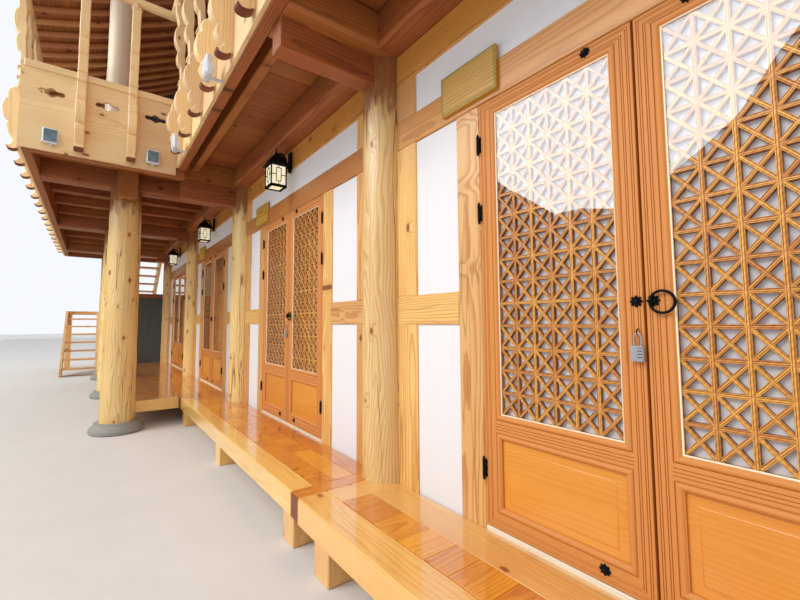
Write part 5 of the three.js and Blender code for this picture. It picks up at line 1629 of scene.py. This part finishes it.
def lay_tiles(roof, name, node, seed):
    work = Work(name, seed)
    edge = roof.inward(GABLE_INSET - 120)
    step = -roof.hip_side * TILE_PITCH
    for face in ("front", "back"):
        for i in range(int(abs(roof.far - edge) / TILE_PITCH)):
            x = edge + step * (i + 0.5)
            tile_row(work, roof, face, x, gabled=True)
            eave_ends(work, roof, face, x)
        for i in range(6):
            x = edge - step * (i + 0.5)
            tile_row(work, roof, face, x)
            if roof.from_end(x) > 160:
                eave_ends(work, roof, face, x)
    rows = int((roof.y1 - roof.y0 - 300) / TILE_PITCH)
    for i in range(rows):
        y = roof.ridge_y + TILE_PITCH * (i + 0.5 - rows / 2)
        tile_row(work, roof, "end", y)
        eave_ends(work, roof, "end", y)

    ridge_end = roof.inward(GABLE_INSET - 80)
    tip = roof.eave + slope_height(roof.run, roof.run)
    path = [(x, roof.ridge_y, tip + 20 + 70 * (1 - k / 24) ** 4) for k, x in enumerate(spaced(24, ridge_end, roof.far))]
    lay_ridge(work, path[::-roof.hip_side], RIDGE_WIDE, RIDGE_HIGH - 20, 130)
    end_tile(work, ridge_end, roof.ridge_y, tip - 10, roof.hip_side, 0, 330)
    for side in (-1, 1):
        path = []
        for k, d in enumerate(spaced(14, roof.run - 40, GABLE_INSET - 260)):
            y = roof.up(side, d)
            path.append((ridge_end, y, roof.top(ridge_end, y, "side") - 12 + 20 * (k / 14) ** 3))
        lay_ridge(work, path, 200, 170, 50)
        end_tile(work, ridge_end, path[-1][1], path[-1][2] - 20, 0, side, 210)
        path = []
        for k, d in enumerate(spaced(16, 250, GABLE_INSET - 60)):
            x, y = roof.inward(d), roof.up(side, d)
            path.append((x, y, roof.top(x, y, "both") - 10 + 46 * (1 - k / 16) ** 3))
        lay_ridge(work, path, 210, 165, 75)
        x, y, z = path[0]
        turn = math.sqrt(0.5)
        end_tile(work, x, y, z - 26, roof.hip_side * turn, side * turn, 220)
    if roof.hip_side < 0:
        x = roof.x1 - 92
        for side in (-1, 1):
            places = [roof.up(side, d) for d in spaced(16, 120, roof.run - 40)]
            lay_ridge(work, [(x, y, roof.top(x, y, "side") - 12) for y in places], 180, 120, 40)
    work.build(["roof_clay"], [node], "roof_tile", smooth_angle=40)


def sloping_strip(work, roof, corners, slope, drop, thick, finish, along):
    """A strip of board that follows the bed: corners gives its plan ends as pairs of points"""
    loops = [[(x, y, roof.top(x, y, slope) - drop + extra)
              for (x, y), extra in ((a, 0), (b, 0), (b, thick), (a, thick))] for a, b in corners]
    (ax, ay), (bx, by) = corners[0]
    cx, cy = corners[1][0]
    if (bx - ax) * (cy - ay) - (by - ay) * (cx - ax) < 0:
        loops = [loop[::-1] for loop in loops]
    work.add(ring_shape(loops), along, finish)


def lay_rafter(work, roof, places, slope, along):
    """A log under the bed, thinner at the eave where it starts"""
    path = [(x, y, roof.top(x, y, slope) - ROOF_THICK + 48) for x, y in places]
    work.rod(path, [40, 44] + [46] * (len(path) - 2), 10, along=along)


def gable_board(work, y0, y1, low, heads, a, b):
    """One upright board of a gable, cut to the slopes above it"""
    work.prism([(y0, low), (y1, low), (y1, heads[1]), (y0, heads[0])], "x", a, b, "z", 1)


def barge_boards(work, roof, x0, x1, at, start, steps, drop, deep):
    """A board along each slope of a gable"""
    for side in (-1, 1):
        loops = []
        for d in spaced(steps, start, roof.run):
            y = roof.up(side, d)
            z = roof.top(at, y, "side") - drop
            loops.append([(x0, y, z - deep), (x1, y, z - deep), (x1, y, z), (x0, y, z)])
        work.add(turned_over(ring_shape(loops), side < 0), "y", 1)


def frame_roof(roof, name, seed):
    """Rafters, eave boards, the bed and the gable under the tiles"""
    work = Work(name, seed)
    fan, pitch = 1500, 305
    for side, overhang in ((-1, -roof.y0), (1, OVERHANG)):
        reach = min(overhang + 120, roof.run - 200)
        x, end = sorted((roof.inward(fan + 150), roof.far + 150 * roof.hip_side))
        while x < end:
            lay_rafter(work, roof, [(x, roof.up(side, d)) for d in spaced(5, 70, reach)], "side", "y")
            x += pitch
        for d0, d1 in strips(max(4, int((reach + 100) / 190)), 60, reach):
            y0, y1 = roof.up(side, d0), roof.up(side, d1 - 3)
            corners = [((x, y0), (x, y1)) for x in spaced(12, *sorted((roof.inward(d0), roof.far)))]
            sloping_strip(work, roof, corners, "side", 80, 16, 1, "x")
        eaves = [min(max(x, roof.x0 + 22), roof.x1 - 22) for x in spaced(24, roof.x0, roof.x1)]
        corners = [((x, roof.up(side, 22)), (x, roof.up(side, 92))) for x in eaves]
        sloping_strip(work, roof, corners, "both", 72, 52, 0, "x")
    y = roof.y0 + fan + 150
    while y < roof.y1 - fan - 150:
        lay_rafter(work, roof, [(roof.inward(d), y) for d in spaced(4, 70, OVERHANG + 120)], "end", "x")
        y += pitch
    for d0, d1 in strips(8, 60, OVERHANG + 120):
        x0, x1 = roof.inward(d0), roof.inward(d1 - 3)
        corners = [((x0, y), (x1, y)) for y in spaced(12, roof.y0 + d0, roof.y1 - d0)]
        sloping_strip(work, roof, corners, "end", 80, 16, 1, "y")
    corners = [((roof.inward(22), y), (roof.inward(92), y)) for y in spaced(24, roof.y0 + 22, roof.y1 - 22)]
    sloping_strip(work, roof, corners, "both", 72, 52, 0, "y")
    for side in (-1, 1):
        for j in range(1, 11):
            angle = math.pi / 2 * j / 11
            ux, uy = roof.hip_side * math.sin(angle), side * math.cos(angle)
            path = []
            for d in spaced(4, (fan - 10) / max(abs(ux), abs(uy)), 240):
                x, y = roof.inward(fan + 60) + ux * d, roof.up(side, fan + 60) + uy * d
                path.append((x, y, roof.top(x, y, "both") - ROOF_THICK + 48))
            thick = 44 if abs(j - 5.5) > 0.6 else 46
            work.rod(path, [thick - 4, thick, thick, thick - 4, thick - 16], 10, along="y")
        rings = []
        turn = math.sqrt(0.5)
        for d in spaced(5, 90, 1790):
            x, y = roof.inward(d), roof.up(side, d)
            z = roof.top(x, y, "both") - ROOF_THICK + 20
            rings.append([(x + turn * side * u, y - turn * roof.hip_side * u, z + v)
                          for u, v in ((-75, 0), (75, 0), (75, 110), (-75, 110))])
        work.add(turned_over(ring_shape(rings), roof.hip_side * side > 0), "y")

    columns, rows = 40, 32
    bed = []
    for drop in (46, 62):
        for x in spaced(columns, roof.x0 + 30, roof.x1 - 30):
            slope = "both" if roof.from_end(x) < GABLE_INSET else "side"
            bed += [(x, y, roof.top(x, y, slope) - drop) for y in spaced(rows, roof.y0 + 30, roof.y1 - 30)]
    layer = (columns + 1) * (rows + 1)
    faces = []
    for i in range(columns):
        for j in range(rows):
            a = i * (rows + 1) + j
            quad = [a, a + rows + 1, a + rows + 2, a + 1]
            faces += [quad, [layer + v for v in quad[::-1]]]
    border = [i * (rows + 1) for i in range(columns)] + [columns * (rows + 1) + j for j in range(rows)]
    border += [i * (rows + 1) + rows for i in range(columns, 0, -1)] + list(range(rows, 0, -1))
    faces += [[a, layer + a, layer + b, b] for a, b in zip(border, border[1:] + border[:1])]
    work.add((bed, faces), "x", 2)

    gable = roof.inward(GABLE_INSET)
    boards = int(2 * (roof.run - GABLE_INSET) / 170)
    for y0, y1 in strips(boards, roof.y0 + GABLE_INSET, roof.y1 - GABLE_INSET):
        low = roof.top(gable, (y0 + y1) / 2 - 1, "end") - 60
        heads = [roof.top(gable, y, "side") - 60 for y in (y0, y1 - 2)]
        if min(heads) - low >= 20:
            gable_board(work, y0, y1 - 2, low, heads, *sorted((roof.inward(GABLE_INSET + d) for d in (20, 45))))
    x = roof.inward(GABLE_INSET - 95)
    barge_boards(work, roof, x, x + 30, gable, GABLE_INSET - 130, 12, 60, 250)
    return work


def gable_over_wing(work, block, wing):
    """Boards that close the block roof's end above the lower wing roof"""
    x = block.x1
    for y0, y1 in strips(30, -1100, 4300):
        heads = [block.top(x, y, "side") - 150 for y in (y0, y1 - 2)]
        low = min(wing.top(wing.x0 + 10, y, "side") for y in (y0, y1 - 2)) - 140
        if min(heads) - low > 30:
            gable_board(work, y0, y1 - 2, low, heads, x - 30, x - 4)
    barge_boards(work, block, x - 32, x - 2, x, 60, 16, 62, 96)


def build_roofs():
    block = Roof(-HALF_LENGTH - OVERHANG, ROOF_JOINT_X, BLOCK_EAVE_Y, -1)
    wing = Roof(ROOF_JOINT_X + GAP, HALF_LENGTH + OVERHANG, WING_EAVE_Y, 1)
    for roof, part, seed in ((block, "block_roof", 221), (wing, "wing_roof", 223)):
        work = frame_roof(roof, f"{part}_timbers", seed)
        if roof is block:
            gable_over_wing(work, block, wing)
        work.build(["rafter_pine", "soffit_pine", "roof_clay"], [part], "dark_pine")
    lay_tiles(block, "block_roof_tiles", "block_roof", 225)
    lay_tiles(wing, "wing_roof_tiles", "wing_roof", 227)


# Stair, lanterns and plaques

STAIR_EAST = RIM_WEST - GAP
STAIR_LENGTH = RISERS * GOING - 60
LANDING_EAST = STAIR_EAST - STAIR_LENGTH - GAP
LANDING_WEST = LANDING_EAST - 900
HALF_RISE = UPPER_FLOOR / 2


def stair_flight(work, x0, y0, z0, direction):
    """A flight of boards housed in two stringers, rising along +x or -x"""
    rise = HALF_RISE / RISERS

    def at(u, v, z):
        return (x0 + direction * u, y0 + direction * v, z0 + z)
    length = (RISERS - 1) * GOING
    outline = [(0, 0), (GOING, 0), (length + GOING - 60, (RISERS - 1) * rise - 120),
               (length + GOING - 60, RISERS * rise - GAP), (length, RISERS * rise - GAP), (0, rise)]
    for a, b in ((0, 50), (STAIR_WIDE - 50, STAIR_WIDE)):
        points = [at(u, 0, z) for u, z in outline]
        y = sorted((at(0, a, 0)[1], at(0, b, 0)[1]))
        work.add(eased_prism_shape([(p[0], p[2]) for p in points], "y", *y, 4))
    for i in range(RISERS - 1):
        p, q = at(i * GOING + 10, 6, (i + 1) * rise - 38), at(i * GOING + GOING + 10, STAIR_WIDE - 6, (i + 1) * rise)
        work.board(p[0], q[0], p[1], q[1], p[2], q[2], "y", 5)


def build_stair():
    upper = Work("stair_upper_boards", 231)
    stair_flight(upper, LANDING_EAST + GAP, -STAIR_WIDE - 60, HALF_RISE, 1)
    upper.build(["wall_pine"], ["stair_upper_flight"], "pine")
    lower = Work("stair_lower_boards", 232)
    stair_flight(lower, LANDING_EAST + GAP + STAIR_LENGTH, RIM_SOUTH + STAIR_WIDE, 0, -1)
    lower.build(["wall_pine"], ["stair_lower_flight"], "pine")
    landing = Work("stair_landing_boards", 233)
    x0, x1, y0, y1, low, high = LANDING_WEST, LANDING_EAST, RIM_SOUTH, -60, HALF_RISE - 80, HALF_RISE
    for a, b in ((x0, x0 + 50), (x1 - 50, x1)):
        landing.board(a, b, y0, y1, low, high - 28, "y", 4)
    for a, b in ((y0, y0 + 50), (y1 - 50, y1), ((y0 + y1) / 2 - 25, (y0 + y1) / 2 + 25)):
        landing.board(x0 + 50, x1 - 50, a, b, low, high - 28, "x", 4)
    for a, b in strips(12, y0, y1):
        landing.board(x0, x1, a + 1.5, b - 1.5, high - 28, high)
    for x in (x0 + 60, x1 - 60):
        for y in (y0 + 60, -120):
            landing.board(x - 50, x + 50, y - 50, y + 50, 0, high - 60, "z", 6)
    landing.build(["wall_pine"], ["stair_landing"], "pine")


def build_lanterns():
    """Black wall lanterns: a tall domed hood over a box of leaded panes, on a strap from a wall plate"""
    for bay in (2, 3, 4):
        work = Work(f"lantern_bay_{bay}_frame", 240 + bay)
        x, y = bay_centre(bay - 1) + 12, -150
        low, high, half = 2552, 2752, 78

        def bars(side, a0, a1, d0, d1, z0, z1, along=None, chamfer=1.5):
            """Two bars of the cage: one that runs across the front or back, one across a side"""
            work.board(x + a0, x + a1, y + side * d0, y + side * d1, z0, z1, along or "x", chamfer, tone=0)
            work.board(x + side * d0, x + side * d1, y + a0, y + a1, z0, z1, along or "y", chamfer, tone=0)
        work.board(x - 36, x + 36, -20, -GAP, 2742, 2922, "z", 6, tone=0)
        work.turned((x, -10, 0), [(2716, 3), (2724, 14), (2743, 20)], 8, "z", tone=0)
        strap = curve_points((-18, 2760), [[(-58, 2776), (-56, 2826)], [(-64, 2886), (-112, 2882)], [(-150, 2872)]], 6)
        loops = []
        for k, (yy, zz) in enumerate(strap):
            before, after = strap[max(0, k - 1)], strap[min(len(strap) - 1, k + 1)]
            run = Vector((after[0] - before[0], after[1] - before[1])).normalized()
            loops.append([(x + u, yy - run.y * v, zz + run.x * v) for u, v in ((-11, -9), (11, -9), (11, 9), (-11, 9))])
        work.add(ring_shape(loops), "z", 0, tone=0)
        hood = [(2750, 126), (2754, 137), (2760, 134), (2768, 116), (2786, 102), (2806, 88), (2828, 68), (2846, 44),
                (2860, 24), (2870, 14), (2878, 11), (2884, 13), (2890, 10), (2908, 8), (2930, 4)]
        work.add(turned_shape((x, y, 0), hood, 4, "z", math.pi / 4), "z", 0, tone=0)
        for turn in range(4):
            c, d = math.cos(math.pi * (0.25 + turn / 2)), math.sin(math.pi * (0.25 + turn / 2))
            work.rod([(x + c * r, y + d * r, z + 2) for z, r in hood[2:10]], 4.5, 8, along="z", tone=0)
        for side in (-1, 1):
            bars(side, -81, 81, 81, 54, low - 12, low + 2, chamfer=3)
        for sx in (-1, 1):
            for sy in (-1, 1):
                a, b = x + sx * half, y + sy * half
                work.board(a, a - sx * 12, b, b - sy * 12, low, high, "z", 2, tone=0)
        near, back = half - 1, half - 6
        for side in (-1, 1):
            for z0, z1 in ((low, low + 10), (high - 12, high)):
                bars(side, -70, 70, half, half - 10, z0, z1)
            for u0, u1 in ((-26, -20), (20, 26)):
                bars(side, u0, u1, near, back, low + 43, high - 39, "z")
            for z in (low + 40, high - 36):
                bars(side, -26, 26, near, back, z - 3, z + 3)
            for z0, z1 in ((low + 9, low + 40), (high - 36, high - 11)):
                bars(side, -3, 3, near, back, z0, z1, "z")
            for u in (-48, 48):
                bars(side, u - 22, u + 22, near, back, 2649, 2656)
        work.build(["iron"], [f"lantern_bay_{bay}"], "iron")
        glass = Work(f"lantern_bay_{bay}_glass", 250 + bay)
        glass.board(x - 71, x + 71, y - 71, y + 71, low - 6, high - 2, "z", 2, tone=0)
        glass.build(["lantern_glass"], (), "paper")


def hang_plaques():
    """Room name boards, left bare"""
    for bay in (1, 2, 3):
        work = Work(f"plaque_bay_{bay}_board", 260 + bay)
        lo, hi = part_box(f"plaque_bay_{bay}")
        x0, x1, y0, z0, z1 = lo[0] / MM, hi[0] / MM, lo[1] / MM, lo[2] / MM, hi[2] / MM
        work.board(x0, x1, y0 + 12, -GAP, z0, z1)
        rect = (x0 + 7, x1 - 7, z0 + 7, z1 - 7)

        def place(u, v, h):
            return (u, y0 + 12 - h, v)
        moulded_ring(work, place, rect, [(0, -1), (0, 1.2), (1, 2.4), (4, 2.4), (5, 1.2), (5, -1)], False, finish=1)
        work.build(["plaque_face", "plaque_edge"], [f"plaque_bay_{bay}"], "plaque")


# Stage

def stage_plane(name, points, faces, material):
    """A flat piece of the stage, in metres"""
    mesh = bpy.data.meshes.new(name)
    mesh.from_pydata(points, [], faces)
    mesh.materials.append(material)
    plane = bpy.data.objects.new(name, mesh)
    bpy.context.scene.collection.objects.link(plane)
    return plane


def set_camera():
    data = bpy.data.cameras.new("viewpoint")
    data.sensor_width, data.lens = 36.0, 18.19
    data.shift_x, data.shift_y = 0.02378, -0.00764
    data.clip_start, data.clip_end = 0.05, 200
    right = Vector((0.57933, 0.81509, -0.00199))
    down = Vector((-0.05997, 0.04019, -0.99739))
    ahead = Vector((-0.81288, 0.57794, 0.07216))
    turn = Matrix((right, -down, -ahead)).transposed()
    camera = bpy.data.objects.new("viewpoint", data)
    camera.matrix_world = Matrix.Translation((5.1852, -1.5149, 1.2604)) @ turn.to_4x4()
    bpy.context.scene.collection.objects.link(camera)
    bpy.context.scene.camera = camera


def hang_panels(strength):
    """A pale and a dark panel in front of the house that only mirror in glass and varnish"""
    outline = [(-1567, 5023), (-1037, 4572), (76, 3731), (702, 3719), (1402, 3556), (1900, 3640), (2384, 3996),
               (2830, 4272), (3361, 4662), (3716, 5193), (3863, 5430), (4140, 5757), (4600, 6100), (4600, 8200),
               (-2600, 8200), (-2600, 5500)]
    sky = finish_surface(start_material("sky_panel")[0], {
        "Base Color": (0.8, 0.82, 0.85, 1), "Emission Color": (0.86, 0.93, 1.0, 1), "Emission Strength": strength})
    shade = finish_surface(start_material("dark_panel")[0], {"Base Color": rgb(104, 92, 72), "Roughness": 0.9})
    panels = (stage_plane("sky_panel", [(x * MM, -7.0, z * MM) for x, z in outline], [list(range(len(outline)))], sky),
              stage_plane("dark_panel", [(-40, -7.2, 0.004), (12, -7.2, 0.004), (12, -7.2, 8.4), (-40, -7.2, 8.4),
                                         (-40, -1.3, 0.004), (12, -1.3, 0.004)], [(0, 1, 2, 3), (0, 4, 5, 1)], shade))
    for panel in panels:
        panel.visible_camera = panel.visible_diffuse = panel.visible_shadow = False


def hang_light(power):
    """The large soft light in front of the house"""
    light = bpy.data.lights.new("window_side", "AREA")
    light.shape, light.size, light.size_y = "RECTANGLE", 11.0, 7.5
    light.energy, light.color = power, (1.0, 0.97, 0.93)
    lamp = bpy.data.objects.new("window_side", light)
    lamp.location = (0.0, -16.0, 14.0)
    lamp.rotation_euler = (Vector((2.2, 0.5, 1.6)) - lamp.location).to_track_quat("-Z", "Y").to_euler()
    lamp.visible_glossy = False
    bpy.context.scene.collection.objects.link(lamp)


def set_stage(looks):
    made, tree = start_material("studio_floor")
    cloud = noise_at(tree, object_place(tree), 3.0, 4.0)
    finish_surface(made, {"Base Color": blend_colour(tree, cloud, rgb(226, 224, 220), rgb(216, 214, 210)),
                          "Roughness": 0.7})
    reach = 60.0
    corners = [(-reach, -reach, 0), (reach, -reach, 0), (reach, reach, 0), (-reach, reach, 0)]
    stage_plane("studio_floor", corners, [(0, 1, 2, 3)], made)
    world = bpy.data.worlds.new("studio")
    world.use_nodes = True
    background = world.node_tree.nodes["Background"]
    background.inputs["Color"].default_value = (0.93, 0.95, 1.0, 1)
    background.inputs["Strength"].default_value = looks.sky_strength
    bpy.context.scene.world = world
    bpy.context.scene.view_settings.view_transform = "Standard"
    bpy.context.scene.view_settings.look = "Medium Contrast"
    hang_light(looks.key_power)
    hang_panels(looks.panel_strength)
    set_camera()


# Settings, operators and panel

class HanokSizes(bpy.types.PropertyGroup):
    log_wobble: bpy.props.FloatProperty(
        name="Hewing", description="How far the logs wander from true round", default=0.004, min=0, max=0.01,
        subtype="DISTANCE", unit="LENGTH")
    lattice_bar: bpy.props.FloatProperty(
        name="Lattice Bar", description="Width of the bars in the door lattices", default=0.0142, min=0.01, max=0.02,
        subtype="DISTANCE", unit="LENGTH")


class HanokLooks(bpy.types.PropertyGroup):
    sky_strength: bpy.props.FloatProperty(
        name="Sky", description="Strength of the pale light from all round", default=1.0, min=0, max=5)
    key_power: bpy.props.FloatProperty(
        name="Side Light", description="Power of the large soft light in front of the house", default=2600.0, min=0,
        max=9000, subtype="POWER", unit="POWER")
    panel_strength: bpy.props.FloatProperty(
        name="Sky Panel", description="Brightness of the panel mirrored in the glass", default=6.6, min=0, max=20)


class HANOK_OT_columns(bpy.types.Operator):
    """Raise the front and pavilion columns on their stones"""
    bl_idname = "hanok.columns"
    bl_label = "Columns"

    def execute(self, context):
        raise_front_columns(context.scene.hanok_sizes)
        raise_pavilion_columns(context.scene.hanok_sizes)
        return {"FINISHED"}


class HANOK_OT_ground_walls(bpy.types.Operator):
    """Build the plinth, the ground floor and the timbered front wall"""
    bl_idname = "hanok.ground_walls"
    bl_label = "Ground Storey Walls"

    def execute(self, context):
        lay_plinth()
        lay_ground_floor()
        build_front_piers()
        build_over_door_wall()
        return {"FINISHED"}


class HANOK_OT_doors(bpy.types.Operator):
    """Hang the latticed door leaves with their glass, paper and ironwork"""
    bl_idname = "hanok.doors"
    bl_label = "Door Leaves"

    def execute(self, context):
        hang_doors(context.scene.hanok_sizes)
        return {"FINISHED"}


class HANOK_OT_decks(bpy.types.Operator):
    """Lay the raised decks and close their far end"""
    bl_idname = "hanok.decks"
    bl_label = "Decks"

    def execute(self, context):
        lay_decks()
        build_end_screen()
        return {"FINISHED"}


class HANOK_OT_balcony(bpy.types.Operator):
    """Frame the upper floor and stand the carved balustrades round the balcony"""
    bl_idname = "hanok.balcony"
    bl_label = "Balcony"

    def execute(self, context):
        frame_floors()
        build_balustrades()
        hang_floodlights()
        return {"FINISHED"}


class HANOK_OT_upper_storey(bpy.types.Operator):
    """Raise the upper columns, walls and screens, and the rear and end walls of both storeys"""
    bl_idname = "hanok.upper_storey"
    bl_label = "Upper Storey"

    def execute(self, context):
        raise_upper_columns(context.scene.hanok_sizes)
        build_upper_front()
        build_outer_walls()
        return {"FINISHED"}


class HANOK_OT_roofs(bpy.types.Operator):
    """Frame and tile the two roofs"""
    bl_idname = "hanok.roofs"
    bl_label = "Roofs"

    def execute(self, context):
        build_roofs()
        return {"FINISHED"}


class HANOK_OT_fittings(bpy.types.Operator):
    """Build the outside stair, and hang the lanterns and room boards"""
    bl_idname = "hanok.fittings"
    bl_label = "Stair and Fittings"

    def execute(self, context):
        build_stair()
        build_lanterns()
        hang_plaques()
        return {"FINISHED"}


class HANOK_OT_stage(bpy.types.Operator):
    """Set the floor, the lights and the camera"""
    bl_idname = "hanok.stage"
    bl_label = "Stage"

    def execute(self, context):
        set_stage(context.scene.hanok_looks)
        return {"FINISHED"}


STEPS = (HANOK_OT_columns, HANOK_OT_ground_walls, HANOK_OT_doors, HANOK_OT_decks, HANOK_OT_balcony,
         HANOK_OT_upper_storey, HANOK_OT_roofs, HANOK_OT_fittings, HANOK_OT_stage)


class HANOK_PT_house(bpy.types.Panel):
    """Sizes, looks and building steps of the house"""
    bl_idname = "HANOK_PT_house"
    bl_label = "Hanok House"
    bl_space_type = "VIEW_3D"
    bl_region_type = "UI"
    bl_category = "Hanok"

    def draw(self, context):
        layout = self.layout
        for group in (context.scene.hanok_sizes, context.scene.hanok_looks):
            column = layout.column(align=True)
            for name in group.__annotations__:
                column.prop(group, name)
        column = layout.column()
        for step in STEPS:
            column.operator(step.bl_idname)


CLASSES = (HanokSizes, HanokLooks, *STEPS, HANOK_PT_house)


def register():
    for each in CLASSES:
        bpy.utils.register_class(each)
    bpy.types.Scene.hanok_sizes = bpy.props.PointerProperty(type=HanokSizes)
    bpy.types.Scene.hanok_looks = bpy.props.PointerProperty(type=HanokLooks)


def unregister():
    del bpy.types.Scene.hanok_looks
    del bpy.types.Scene.hanok_sizes
    for each in reversed(CLASSES):
        bpy.utils.unregister_class(each)


def main():
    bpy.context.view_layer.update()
    register()
    for step in STEPS:
        family, name = step.bl_idname.split(".")
        getattr(getattr(bpy.ops, family), name)()


if __name__ == "__main__":
    main()
